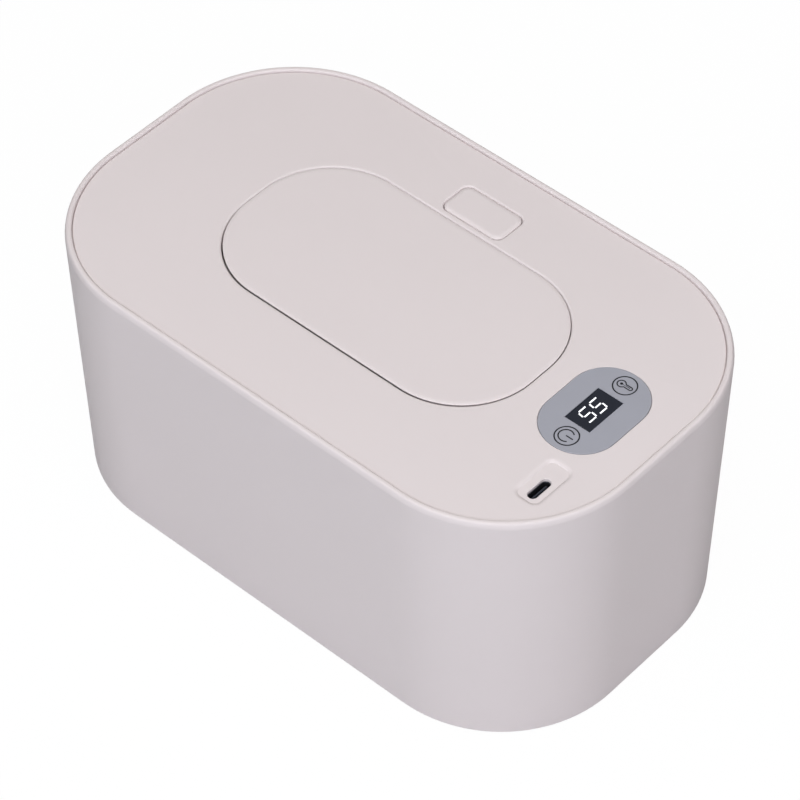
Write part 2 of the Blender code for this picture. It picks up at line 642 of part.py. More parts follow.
def build_inner_tub(material):
    """Wipes chamber with a flange, a drafted wall, a round-edged floor, spring posts and screw bosses."""
    outer = TUB_INSET
    inner = TUB_INSET + TUB_WALL
    floor = TUB_FLOOR_HEIGHT
    flange_bottom = FLANGE_TOP - TUB_FLANGE
    flange_reach = SHELL_WALL + shell_draft(flange_bottom) + GAP
    low_outer = outer + tub_draft(floor)
    low_inner = inner + tub_draft(floor)
    outside = [(low_outer + TUB_FLOOR_ROUND, floor)]
    outside += rounding(low_outer + TUB_FLOOR_ROUND, floor + TUB_FLOOR_ROUND, TUB_FLOOR_ROUND, -45, 0, 1)
    outside += [(outer, flange_bottom), (flange_reach, flange_bottom), (flange_reach, FLANGE_TOP)]
    inside = [(inner, FLANGE_TOP)]
    round_inside = TUB_FLOOR_ROUND - TUB_WALL
    inside += rounding(low_inner + round_inside, TUB_FLOOR_TOP + round_inside, round_inside, 0, -90, 2)
    sections = [(body_outline(inset), height) for inset, height in outside + inside]
    tub = loft("inner_tub", sections, material)
    post_radius = LIFT_SPRING_RADIUS - LIFT_SPRING_WIRE / 2 - 2 * GAP
    boss_bottom = BASE_TOP + GAP
    for index, (sign_x, sign_y) in enumerate(FOUR_SIGNS):
        place = (sign_x * LIFT_SPRING_X, sign_y * LIFT_SPRING_Y)
        top = TUB_FLOOR_TOP + POST_HEIGHT
        profile = [
            (post_radius, TUB_FLOOR_TOP - TUB_FLOOR / 2),
            (post_radius, top - POST_HEIGHT * CROWN_HEIGHT_SHARE),
            (post_radius * CROWN_RADIUS_SHARE, top),
        ]
        add(tub, turned(f"tub_post_{index}", profile, place, BOSS_SIDES))
        screw = (sign_x * BASE_SCREW_X, sign_y * BASE_SCREW_Y)
        boss = [(BOSS_RADIUS, boss_bottom), (BOSS_RADIUS, floor + TUB_FLOOR / 2)]
        add(tub, turned(f"tub_boss_{index}", boss, screw, BOSS_SIDES))
        bore_top = min(boss_bottom + SCREW_BORE_DEPTH, floor + TUB_FLOOR * BORE_FLOOR_SHARE)
        bore = [(SCREW_CLEAR_RADIUS, boss_bottom - OVERRUN), (SCREW_CLEAR_RADIUS, bore_top)]
        cut(tub, turned(f"tub_bore_{index}", bore, screw, SCREW_SIDES))
    return tub


def build_base_plate(material):
    """Bottom cover with foot pockets, counterbored screw holes and a stiffening rib on its inner side."""
    reach = SHELL_WALL + shell_draft(BASE_BOTTOM) + GAP
    rib_outer = reach + BASE_RIB_INSET
    rib_inner = rib_outer + BASE_RIB_WALL
    rib_top = BASE_TOP + BASE_RIB_HEIGHT
    profile = [
        (reach + SHELL_FOOT_ROUND, BASE_BOTTOM),
        (reach, BASE_BOTTOM + SHELL_FOOT_ROUND),
        (reach, BASE_TOP),
        (rib_outer, BASE_TOP),
        (rib_outer, rib_top),
        (rib_inner, rib_top),
        (rib_inner, BASE_TOP),
    ]
    plate = loft("base_plate", [(body_outline(inset), height) for inset, height in profile], material)
    for index, (sign_x, sign_y) in enumerate(FOUR_SIGNS):
        foot = (sign_x * FOOT_X, sign_y * FOOT_Y)
        pocket = [(FOOT_RADIUS + GAP, BASE_BOTTOM - OVERRUN), (FOOT_RADIUS + GAP, BASE_BOTTOM + FOOT_POCKET)]
        cut(plate, turned(f"foot_pocket_{index}", pocket, foot, ROUND_SIDES))
        screw = (sign_x * BASE_SCREW_X, sign_y * BASE_SCREW_Y)
        sink = SCREW_HEAD_RADIUS + GAP
        bore = [
            (sink, BASE_BOTTOM - OVERRUN),
            (sink, BASE_BOTTOM + BASE_COUNTERBORE),
            (SCREW_CLEAR_RADIUS, BASE_BOTTOM + BASE_COUNTERBORE),
            (SCREW_CLEAR_RADIUS, BASE_TOP + OVERRUN),
        ]
        cut(plate, turned(f"base_bore_{index}", bore, screw, SCREW_SIDES))
    return plate


def build_feet(material):
    """Round rubber feet whose soles are the lowest faces of the warmer."""
    top = BASE_BOTTOM + FOOT_POCKET - GAP
    profile = [(FOOT_RADIUS - FOOT_ROUND, 0.0), (FOOT_RADIUS, FOOT_ROUND), (FOOT_RADIUS, top)]
    for index, (sign_x, sign_y) in enumerate(FOUR_SIGNS):
        turned(f"foot_{index + 1}", profile, (sign_x * FOOT_X, sign_y * FOOT_Y), ROUND_SIDES, material)


def build_screw(name, place, seat, length, material):
    """A pan head screw that points up; the seat is the height its head bears on."""
    bearing = seat - GAP
    crown = SCREW_HEAD_HEIGHT * CROWN_HEIGHT_SHARE
    profile = [
        (SCREW_HEAD_RADIUS * CROWN_RADIUS_SHARE, bearing - SCREW_HEAD_HEIGHT),
        (SCREW_HEAD_RADIUS, bearing - SCREW_HEAD_HEIGHT + crown),
        (SCREW_HEAD_RADIUS, bearing),
        (SCREW_SHANK_RADIUS, bearing),
        (SCREW_SHANK_RADIUS, bearing + length - SCREW_SHANK_RADIUS),
        (SCREW_SHANK_RADIUS * POINT_RADIUS_SHARE, bearing + length),
    ]
    return turned(name, profile, place, SCREW_SIDES, material)


def build_screws(material):
    for index, (sign_x, sign_y) in enumerate(FOUR_SIGNS):
        place = (sign_x * BASE_SCREW_X, sign_y * BASE_SCREW_Y)
        build_screw(f"base_screw_{index + 1}", place, BASE_BOTTOM + BASE_COUNTERBORE, SCREW_LENGTH, material)
    for index, place in enumerate(COVER_SCREW_PLACES):
        build_screw(f"cover_screw_{index + 1}", place, SKIRT_BOTTOM, SCREW_LENGTH, material)
    for index, place in enumerate(BOARD_SCREW_PLACES):
        build_screw(f"board_screw_{index + 1}", place, BOARD_BOTTOM, SCREW_LENGTH, material)
    for index, place in enumerate(LATCH_SCREW_PLACES):
        build_screw(f"latch_screw_{index + 1}", place, BRACKET_BOTTOM, SCREW_LENGTH, material)


def build_lift_plate(material):
    """Tray under the wipes, with a guiding edge wall, a rib and seats for the four springs."""
    bottom = LIFT_REST_HEIGHT - LIFT_WALL_DEPTH
    reach = TUB_INSET + TUB_WALL + TUB_DRAFT + LIFT_CLEARANCE
    wall = reach + LIFT_WALL
    underside = LIFT_REST_HEIGHT - LIFT_PANEL
    profile = [
        (wall, underside),
        (wall, bottom),
        (reach, bottom),
        (reach, LIFT_REST_HEIGHT - LIFT_WALL),
        (reach + LIFT_WALL, LIFT_REST_HEIGHT),
    ]
    plate = loft("lift_plate", [(body_outline(inset), height) for inset, height in profile], material)
    rib_low = underside - LIFT_RIB_DEPTH
    rib_high = underside + GAP
    half_length = BODY_LENGTH / 2 - wall + LIFT_WALL / 2
    half_width = BODY_WIDTH / 2 - wall + LIFT_WALL / 2
    half_rib = LIFT_RIB / 2
    add(plate, box("lift_rib_long", (-half_length, -half_rib, rib_low), (half_length, half_rib, rib_high)))
    add(plate, box("lift_rib_cross", (-half_rib, -half_width, rib_low), (half_rib, half_width, rib_high)))
    post_radius = LIFT_SPRING_RADIUS - LIFT_SPRING_WIRE / 2 - 2 * GAP
    for index, (sign_x, sign_y) in enumerate(FOUR_SIGNS):
        place = (sign_x * LIFT_SPRING_X, sign_y * LIFT_SPRING_Y)
        profile = [
            (post_radius * CROWN_RADIUS_SHARE, underside - POST_HEIGHT),
            (post_radius, underside - POST_HEIGHT + POST_HEIGHT * CROWN_HEIGHT_SHARE),
            (post_radius, underside + GAP),
        ]
        add(plate, turned(f"lift_post_{index}", profile, place, BOSS_SIDES))
        hole = [(DRAIN_RADIUS, underside - OVERRUN), (DRAIN_RADIUS, LIFT_REST_HEIGHT + OVERRUN)]
        drain = (sign_x * DRAIN_X, sign_y * LIFT_SPRING_Y)
        cut(plate, turned(f"lift_drain_{index}", hole, drain, BOSS_SIDES))
    return plate


def build_lift_springs(material):
    bottom = TUB_FLOOR_TOP + GAP
    height = LIFT_REST_HEIGHT - LIFT_PANEL - GAP - bottom
    for index, (sign_x, sign_y) in enumerate(FOUR_SIGNS):
        place = (sign_x * LIFT_SPRING_X, sign_y * LIFT_SPRING_Y)
        coil_spring(
            f"lift_spring_{index + 1}", place, bottom, height,
            LIFT_SPRING_RADIUS, LIFT_SPRING_WIRE, LIFT_SPRING_COILS, material,
        )


def pocket_box(side, growth, low_y, high_y, top):
    """Corners of a hinge pocket on one side of the lid, grown outwards by the growth."""
    near = POCKET_START - growth
    far = POCKET_START + POCKET_WIDTH + growth
    low_x, high_x = sorted((side * near, side * far))
    reach = ARM_OUTER + POCKET_PLAY + growth
    return (low_x, max(low_y, HINGE_Y - reach), HINGE_Z - reach), (high_x, high_y, top)


def build_top_cover(material):
    """Top moulding: plate, skirt and lid well in one ring, with housings below and openings above."""
    roof = COVER_TOP
    under = COVER_UNDERSIDE
    edge = COVER_INSET
    rounded = COVER_EDGE_ROUND
    mouth = mouth_outline(0.0)
    sections = [
        (mouth, WELL_FLOOR_UNDERSIDE),
        (mouth, WELL_FLOOR_TOP),
        (opening_outline(0.0), WELL_FLOOR_TOP),
        (opening_outline(0.0), roof - rounded),
        (opening_outline(rounded), roof),
        (body_outline(edge + rounded), roof),
        (body_outline(edge), roof - rounded),
        (body_outline(edge), under),
        (body_outline(SKIRT_INSET), under),
        (body_outline(SKIRT_INSET), SKIRT_BOTTOM),
        (body_outline(SKIRT_INSET + SKIRT_WALL), SKIRT_BOTTOM),
        (body_outline(SKIRT_INSET + SKIRT_WALL), under),
        (opening_outline(WELL_WALL), under),
        (opening_outline(WELL_WALL), WELL_FLOOR_UNDERSIDE),
    ]
    cover = loft("top_cover", sections, material, True)
    inside = under + COVER_THICKNESS / 2
    for index, place in enumerate(COVER_SCREW_PLACES):
        boss = [(BOSS_RADIUS, INNER_FLOOR_TOP + GAP), (BOSS_RADIUS, inside)]
        add(cover, turned(f"cover_boss_{index}", boss, place, BOSS_SIDES))
    for index, place in enumerate(BOARD_SCREW_PLACES):
        boss = [(BOARD_BOSS_RADIUS, BOARD_TOP + GAP), (BOARD_BOSS_RADIUS, inside)]
        add(cover, turned(f"board_boss_{index}", boss, place, BOSS_SIDES))
    for index, place in enumerate(LATCH_SCREW_PLACES):
        boss = [(BOSS_RADIUS, BRACKET_TOP + GAP), (BOSS_RADIUS, inside)]
        add(cover, turned(f"latch_boss_{index}", boss, place, BOSS_SIDES))
    low_well = -LID_OPENING_WIDTH / 2
    for side, word in ((-1, "left"), (1, "right")):
        low, high = pocket_box(side, POCKET_WALL, -BODY_WIDTH, low_well - WELL_WALL / 2, inside)
        add(cover, box(f"pocket_shell_{word}", low, high))
    for side, word in ((-1, "left"), (1, "right")):
        low, high = pocket_box(side, 0.0, -BODY_WIDTH, low_well + OVERRUN, COVER_TOP - POCKET_ROOF)
        cut(cover, box(f"pocket_room_{word}", low, high))
        bore = circle(PIN_RADIUS + GAP, PIN_SIDES, (HINGE_Y, HINGE_Z))
        start = POCKET_START - POCKET_WALL - OVERRUN
        stop = POCKET_START + POCKET_WIDTH + POCKET_WALL + OVERRUN
        low_x, high_x = sorted((side * start, side * stop))
        cut(cover, along_x(f"pin_bore_{word}", bore, low_x, high_x))
    for name, places, bottom in (
        ("cover_bore", COVER_SCREW_PLACES, INNER_FLOOR_TOP + GAP),
        ("board_bore", BOARD_SCREW_PLACES, BOARD_TOP + GAP),
        ("latch_bore", LATCH_SCREW_PLACES, BRACKET_TOP + GAP),
    ):
        for index, place in enumerate(places):
            top = min(bottom + SCREW_BORE_DEPTH, COVER_UNDERSIDE)
            bore = [(SCREW_CLEAR_RADIUS, bottom - OVERRUN), (SCREW_CLEAR_RADIUS, top)]
            cut(cover, turned(f"{name}_{index}", bore, place, SCREW_SIDES))
    cut_button_opening(cover)
    cut_panel_pocket(cover)
    cut_port(cover)
    return cover


def cut_button_opening(cover):
    """Button opening through the plate, and the latch bar's slot through the well's wall."""
    outline = rounded_outline(
        BUTTON_OPENING_LENGTH, BUTTON_OPENING_WIDTH, BUTTON_OPENING_CORNER, (0.0, BUTTON_CENTRE_Y), 4
    )
    cut(cover, prism("button_opening", outline, COVER_UNDERSIDE - OVERRUN, COVER_TOP + OVERRUN))
    half = BAR_HALF_WIDTH - BAR_NOSE_INSET + GAP
    wall = LID_OPENING_WIDTH / 2
    low = (-half, wall - OVERRUN, BAR_BOTTOM - GAP)
    high = (half, wall + WELL_WALL + OVERRUN, BAR_TOP + GAP)
    cut(cover, box("latch_slot", low, high))


def cut_panel_pocket(cover):
    """Shallow pocket for the panel film and the window for the display module below it."""
    pocket = rounded_outline(PANEL_LENGTH, PANEL_WIDTH, PANEL_CORNER, (PANEL_CENTRE_X, 0.0), 8)
    cut(cover, prism("panel_pocket", pocket, COVER_TOP - PANEL_POCKET, COVER_TOP + OVERRUN))
    half_length = WINDOW_LENGTH / 2
    half_width = WINDOW_WIDTH / 2
    middle = PANEL_CENTRE_X + WINDOW_OFFSET_X
    low = (middle - half_length, -half_width, COVER_UNDERSIDE - OVERRUN)
    high = (middle + half_length, half_width, COVER_TOP)
    cut(cover, box("display_window_cut", low, high))


def cut_port(cover):
    """Sloping finger recess with the slot of the power inlet in its floor."""
    centre = (PORT_RECESS_X, PORT_RECESS_Y)
    slope = PORT_RECESS_SLOPE
    upper = rounded_outline(PORT_RECESS_LENGTH, PORT_RECESS_WIDTH, PORT_RECESS_CORNER, centre, 4)
    above = rounded_outline(
        PORT_RECESS_LENGTH + slope, PORT_RECESS_WIDTH + slope, PORT_RECESS_CORNER + slope / 2, centre, 4
    )
    lower = rounded_outline(
        PORT_RECESS_LENGTH - slope, PORT_RECESS_WIDTH - slope, PORT_RECESS_CORNER - slope / 2, centre, 4
    )
    sections = [(lower, PORT_FLOOR), (upper, COVER_TOP - slope / 2), (above, COVER_TOP + slope / 2)]
    cut(cover, loft("port_recess", sections))
    slot = rounded_outline(
        SOCKET_OUTER_LENGTH + 2 * GAP, SOCKET_OUTER_WIDTH + 2 * GAP, SOCKET_OUTER_LENGTH / 2 + GAP,
        (PORT_X, PORT_Y), 4,
    )
    cut(cover, prism("port_slot", slot, COVER_UNDERSIDE - OVERRUN, COVER_TOP))


def build_panel(film_material, lens_material, module_material):
    """Panel film with its window, the smoked lens in it, and the display module on the board."""
    top = COVER_TOP + PANEL_PROUD
    outline = rounded_outline(
        PANEL_LENGTH - 2 * PANEL_SEAM, PANEL_WIDTH - 2 * PANEL_SEAM, PANEL_CORNER - PANEL_SEAM,
        (PANEL_CENTRE_X, 0.0), 8,
    )
    film = prism("panel_film", outline, top - PANEL_FILM, top, film_material)
    middle = PANEL_CENTRE_X + WINDOW_OFFSET_X
    half_length = WINDOW_LENGTH / 2
    half_width = WINDOW_WIDTH / 2
    low = (middle - half_length, -half_width, top - PANEL_FILM - OVERRUN)
    cut(film, box("film_window", low, (middle + half_length, half_width, top + OVERRUN)))
    lens_low = (middle - half_length + PANEL_SEAM, -half_width + PANEL_SEAM, top - LENS_THICKNESS)
    lens_high = (middle + half_length - PANEL_SEAM, half_width - PANEL_SEAM, top)
    box("display_lens", lens_low, lens_high, lens_material)
    module_low = (middle - half_length + MODULE_INSET, -half_width + MODULE_INSET, BOARD_TOP + GAP)
    module_top = top - LENS_THICKNESS - GAP
    module_high = (middle + half_length - MODULE_INSET, half_width - MODULE_INSET, module_top)
    box("display_module", module_low, module_high, module_material)


def build_port(metal, plastic):
    """Upright USB-C receptacle: folded metal mouth and the contact tongue in it."""
    outer = rounded_outline(
        SOCKET_OUTER_LENGTH, SOCKET_OUTER_WIDTH, SOCKET_OUTER_LENGTH / 2, (PORT_X, PORT_Y), 4
    )
    inner_length = SOCKET_OUTER_LENGTH - 2 * SOCKET_WALL
    inner_width = SOCKET_OUTER_WIDTH - 2 * SOCKET_WALL
    inner = rounded_outline(inner_length, inner_width, inner_length / 2, (PORT_X, PORT_Y), 4)
    bottom = BOARD_TOP + GAP
    sections = [
        (outer, bottom),
        (outer, PORT_FLOOR),
        (inner, PORT_FLOOR),
        (inner, bottom + SOCKET_FLOOR),
    ]
    loft("usb_socket", sections, metal)
    low = (PORT_X - TONGUE_LENGTH / 2, PORT_Y - TONGUE_WIDTH / 2, bottom + SOCKET_FLOOR + GAP)
    high = (PORT_X + TONGUE_LENGTH / 2, PORT_Y + TONGUE_WIDTH / 2, PORT_FLOOR - TONGUE_DEPTH)
    box("usb_tongue", low, high, plastic)


def build_control_board(material, spring_material):
    """Circuit board whose outer edge follows the cover's skirt, and the two touch springs on it."""
    board = prism("control_board", body_outline(BOARD_INSET), BOARD_BOTTOM, BOARD_TOP, material)
    low = (BOARD_START_X, BOARD_LOW_Y, BOARD_BOTTOM - OVERRUN)
    high = (BODY_LENGTH, BOARD_HIGH_Y, BOARD_TOP + OVERRUN)
    combine(board, box("board_limits", low, high), "INTERSECT")
    for index, place in enumerate(BOARD_SCREW_PLACES):
        bore = [(SCREW_CLEAR_RADIUS, BOARD_BOTTOM - OVERRUN), (SCREW_CLEAR_RADIUS, BOARD_TOP + OVERRUN)]
        cut(board, turned(f"board_hole_{index}", bore, place, SCREW_SIDES))
    bottom = BOARD_TOP + GAP
    height = COVER_UNDERSIDE - GAP - bottom
    for word, side in (("power", -1), ("temperature", 1)):
        coil_spring(
            f"touch_spring_{word}", (PANEL_CENTRE_X, side * TOUCH_OFFSET_Y), bottom, height,
            TOUCH_SPRING_RADIUS, TOUCH_SPRING_WIRE, TOUCH_SPRING_COILS, spring_material,
        )


def build_inner_cover(material):
    """Underside tray that closes the cover and frames the heating pan."""
    edge = SKIRT_INSET + SKIRT_WALL + INNER_RIM_INSET
    rim = SKIRT_BOTTOM + INNER_RIM_DEPTH
    frame = pan_outline(GAP)
    sections = [
        (frame, SKIRT_BOTTOM),
        (body_outline(edge), SKIRT_BOTTOM),
        (body_outline(edge), rim),
        (body_outline(edge + INNER_RIM_WALL), rim),
        (body_outline(edge + INNER_RIM_WALL), INNER_FLOOR_TOP),
        (frame, INNER_FLOOR_TOP),
    ]
    tray = loft("inner_cover", sections, material, True)
    for index, place in enumerate(COVER_SCREW_PLACES):
        low, high = SKIRT_BOTTOM - OVERRUN, INNER_FLOOR_TOP + OVERRUN
        hole = [(SCREW_CLEAR_RADIUS, low), (SCREW_CLEAR_RADIUS, high)]
        cut(tray, turned(f"inner_cover_hole_{index}", hole, place, SCREW_SIDES))
    return tray


def build_heater(pan_material, film_material, pad_material, sensor_material, fuse_material):
    """Aluminium pan round the mouth with the heating film, the insulating pad and the two sensors on it."""
    metal = PAN_METAL
    flange_low = PAN_FLANGE_BOTTOM
    flange_high = flange_low + metal
    collar_top = WELL_FLOOR_UNDERSIDE - GAP
    collar = mouth_outline(COLLAR_GAP)
    collar_outside = mouth_outline(COLLAR_GAP + metal)
    sections = [
        (collar, PAN_BOTTOM),
        (pan_outline(0.0), PAN_BOTTOM),
        (pan_outline(0.0), flange_low),
        (pan_outline(PAN_FLANGE), flange_low),
        (pan_outline(PAN_FLANGE), flange_high),
        (pan_outline(-metal), flange_high),
        (pan_outline(-metal), PAN_BOTTOM + metal),
        (collar_outside, PAN_BOTTOM + metal),
        (collar_outside, collar_top),
        (collar, collar_top),
    ]
    loft("heating_plate", sections, pan_material, True)
    film_low = PAN_BOTTOM + metal + GAP
    film_high = film_low + FILM_THICKNESS
    outside = pan_outline(-metal - FILM_MARGIN)
    inside = mouth_outline(COLLAR_GAP + metal + FILM_MARGIN)
    ring = [(inside, film_low), (outside, film_low), (outside, film_high), (inside, film_high)]
    loft("heating_film", ring, film_material, True)
    pad_low = film_high + GAP
    pad_high = pad_low + PAD_THICKNESS
    ring = [(inside, pad_low), (outside, pad_low), (outside, pad_high), (inside, pad_high)]
    pad = loft("insulation_pad", ring, pad_material, True)
    for name, place_y, length, width in (
        ("sensor_room", SENSOR_Y, SENSOR_LENGTH, SENSOR_WIDTH),
        ("fuse_room", -SENSOR_Y, FUSE_LENGTH, 2 * FUSE_RADIUS),
    ):
        half_x = length / 2 + PAD_WINDOW_MARGIN
        half_y = width / 2 + PAD_WINDOW_MARGIN
        low = (SENSOR_X - half_x, place_y - half_y, pad_low - OVERRUN)
        high = (SENSOR_X + half_x, place_y + half_y, pad_high + OVERRUN)
        cut(pad, box(name, low, high))
    half_x = SENSOR_LENGTH / 2
    half_y = SENSOR_WIDTH / 2
    low = (SENSOR_X - half_x, SENSOR_Y - half_y, pad_low)
    high = (SENSOR_X + half_x, SENSOR_Y + half_y, pad_low + SENSOR_HEIGHT)
    box("temperature_sensor", low, high, sensor_material)
    ring = circle(FUSE_RADIUS, BOSS_SIDES, (-SENSOR_Y, pad_low + FUSE_RADIUS))
    half_x = FUSE_LENGTH / 2
    along_x("thermal_fuse", ring, SENSOR_X - half_x, SENSOR_X + half_x, fuse_material)
    for index in range(2):
        y = LEAD_Y + index * LEAD_SPACING
        hole = [(LEAD_RADIUS + GAP, pad_low - OVERRUN), (LEAD_RADIUS + GAP, pad_high + OVERRUN)]
        cut(pad, turned(f"lead_room_{index}", hole, (LEAD_X, y), SCREW_SIDES))


def build_heater_leads(materials):
    """Two insulated leads from the board's underside down to the heating film."""
    low = PAN_BOTTOM + PAN_METAL + GAP + FILM_THICKNESS + GAP
    high = BOARD_BOTTOM - GAP
    count = 5
    for index, material in enumerate(materials):
        y = LEAD_Y + index * LEAD_SPACING
        points = [(LEAD_X, y, low + (high - low) * step / count) for step in range(count + 1)]
        tube(f"heater_lead_{index + 1}", points, LEAD_RADIUS, 2, material)


def build_dispensing_insert(material):
    """Silicone mouth: flange on the well's floor, waist through it, lip below, and a slotted skin."""
    flange_low = WELL_FLOOR_TOP + GAP
    flange_high = flange_low + INSERT_FLANGE_THICKNESS
    lip_high = WELL_FLOOR_UNDERSIDE - GAP
    lip_low = lip_high - INSERT_LIP_HEIGHT
    skin_low = flange_high - INSERT_SKIN - GAP
    slot = rounded_outline(SLOT_LENGTH, SLOT_WIDTH, SLOT_WIDTH / 2)
    sections = [
        (mouth_outline(-GAP - INSERT_WALL), lip_low),
        (mouth_outline(0.0), lip_low),
        (mouth_outline(INSERT_LIP), lip_high),
        (mouth_outline(-GAP), lip_high),
        (mouth_outline(-GAP), flange_low),
        (mouth_outline(INSERT_FLANGE), flange_low),
        (mouth_outline(INSERT_FLANGE), flange_high),
        (mouth_outline(-GAP - INSERT_WALL), flange_high),
        (slot, flange_high - GAP),
        (slot, skin_low - GAP),
        (mouth_outline(-GAP - INSERT_WALL), skin_low - GAP),
    ]
    insert = loft("dispensing_insert", sections, material, True)
    middle = SLOT_LENGTH / 2 - SLOT_WIDTH / 2
    for index, share in enumerate((-SLIT_OFFSET_SHARE, 0.0, SLIT_OFFSET_SHARE)):
        x = 2 * middle * share
        half = SLOT_WIDTH / 2 + (MOUTH_WIDTH - SLOT_WIDTH) / 2 * SLIT_REACH_SHARE
        low = (x - SLIT_WIDTH / 2, -half, skin_low - GAP - OVERRUN)
        high = (x + SLIT_WIDTH / 2, half, flange_high + OVERRUN)
        cut(insert, box(f"insert_slit_{index}", low, high))
    return insert


def build_cover_gasket(material):
    """Square-section seal between the cover's plate and the tub's flange."""
    outer = body_outline(COVER_INSET + COVER_GASKET_INSET)
    inner = body_outline(COVER_INSET + COVER_GASKET_INSET + COVER_GASKET_WALL)
    low = FLANGE_TOP + GAP
    high = COVER_UNDERSIDE - GAP
    loft("cover_gasket", [(inner, low), (outer, low), (outer, high), (inner, high)], material, True)


def build_lid(outer_material, inner_material, gasket_material):
    """Lid top with an undercut edge, lid tray with hinge arms and catch, and the seal in its groove."""
    top = COVER_TOP
    rounded = LID_EDGE_ROUND
    rib = LID_TRAY_INSET + LID_TRAY_WALL + GAP
    rib_low = LID_UNDERSIDE - LID_RIB_DEPTH
    profile = [
        (rib + LID_RIB_WALL, LID_UNDERSIDE),
        (rib + LID_RIB_WALL, rib_low),
        (rib, rib_low),
        (rib, LID_UNDERSIDE),
        (LID_UNDERCUT, LID_UNDERSIDE),
        (0.0, top - rounded),
        (rounded, top),
    ]
    loft("lid_outer", [(lid_outline(inset), height) for inset, height in profile], outer_material)
    build_lid_inner(inner_material)
    low = WELL_FLOOR_TOP + GAP
    high = LID_TRAY_BOTTOM + LID_GASKET_SEAT - GAP
    outer = gasket_outline(0.0)
    inner = gasket_outline(-LID_GASKET_WALL)
    loft("lid_gasket", [(inner, low), (outer, low), (outer, high), (inner, high)], gasket_material, True)


def gasket_outline(outset):
    """The outline of the lid's seal, moved outwards by the outset."""
    length = LID_GASKET_LENGTH + 2 * outset
    width = LID_GASKET_WIDTH + 2 * outset
    return rounded_outline(length, width, LID_GASKET_CORNER + outset, (0.0, LID_SHIFT_Y))


def build_lid_inner(material):
    floor = LID_TRAY_BOTTOM
    groove = floor + LID_GASKET_SEAT
    inner_groove = gasket_outline(-LID_GASKET_WALL - GAP)
    outer_groove = gasket_outline(GAP)
    wall = LID_TRAY_INSET
    tray_top = LID_UNDERSIDE - GAP
    sections = [
        (inner_groove, floor),
        (inner_groove, groove),
        (outer_groove, groove),
        (outer_groove, floor),
        (lid_outline(wall + LID_TRAY_WALL / 2), floor),
        (lid_outline(wall), floor + LID_TRAY_WALL / 2),
        (lid_outline(wall), tray_top),
        (lid_outline(wall + LID_TRAY_WALL), tray_top),
        (lid_outline(wall + LID_TRAY_WALL), floor + LID_TRAY_FLOOR),
    ]
    tray = loft("lid_inner", sections, material)
    start = POCKET_START + ARM_SIDE_PLAY
    for side, word in ((-1, "left"), (1, "right")):
        low_x, high_x = sorted((side * start, side * (start + ARM_WIDTH)))
        add(tray, along_x(f"arm_{word}", arm_outline(), low_x, high_x))
        bore = circle(PIN_RADIUS + GAP, PIN_SIDES, (HINGE_Y, HINGE_Z))
        cut(tray, along_x(f"arm_bore_{word}", bore, low_x - OVERRUN, high_x + OVERRUN))
    add_catch(tray)
    return tray


def arm_outline():
    """Gooseneck arm in the Y-Z plane: it runs under the cover's edge to the barrel round the hinge pin."""
    def polar(radius, degrees):
        angle = radians(degrees)
        return HINGE_Y + radius * cos(angle), HINGE_Z + radius * sin(angle)

    points = []
    for step in range(ARM_STEPS + 1):
        angle = ARM_FRONT_ANGLE + (ARM_BACK_ANGLE - ARM_FRONT_ANGLE) * step / ARM_STEPS
        points.append(polar(ARM_OUTER, angle))
    for step in range(ARM_STEPS + 1):
        angle = BARREL_START_ANGLE + (BARREL_END_ANGLE - BARREL_START_ANGLE) * step / ARM_STEPS
        points.append(polar(BARREL_RADIUS, angle))
    for step in range(ARM_STEPS + 1):
        angle = ARM_WEB_ANGLE + (ARM_FRONT_ANGLE - ARM_WEB_ANGLE) * step / ARM_STEPS
        points.append(polar(ARM_INNER, angle))
    return points


def add_catch(tray):
    """Catch below the lid's free edge: a stem on the tray's wall and a lip that the latch bar faces."""
    half = CATCH_WIDTH / 2
    wall_y = LID_SHIFT_Y + LID_WIDTH / 2 - LID_TRAY_INSET
    lip_y = LID_OPENING_WIDTH / 2 - CATCH_LIP_GAP
    lip_top = BAR_BOTTOM - GAP
    low = (-half, wall_y - CATCH_STEM, lip_top - CATCH_THICKNESS)
    add(tray, box("catch_lip", low, (half, lip_y, lip_top)))
    low = (-half, wall_y - CATCH_STEM, lip_top - CATCH_THICKNESS / 2)
    high = (half, wall_y - LID_TRAY_WALL / 2, LID_TRAY_BOTTOM + LID_TRAY_WALL / 2)
    add(tray, box("catch_stem", low, high))


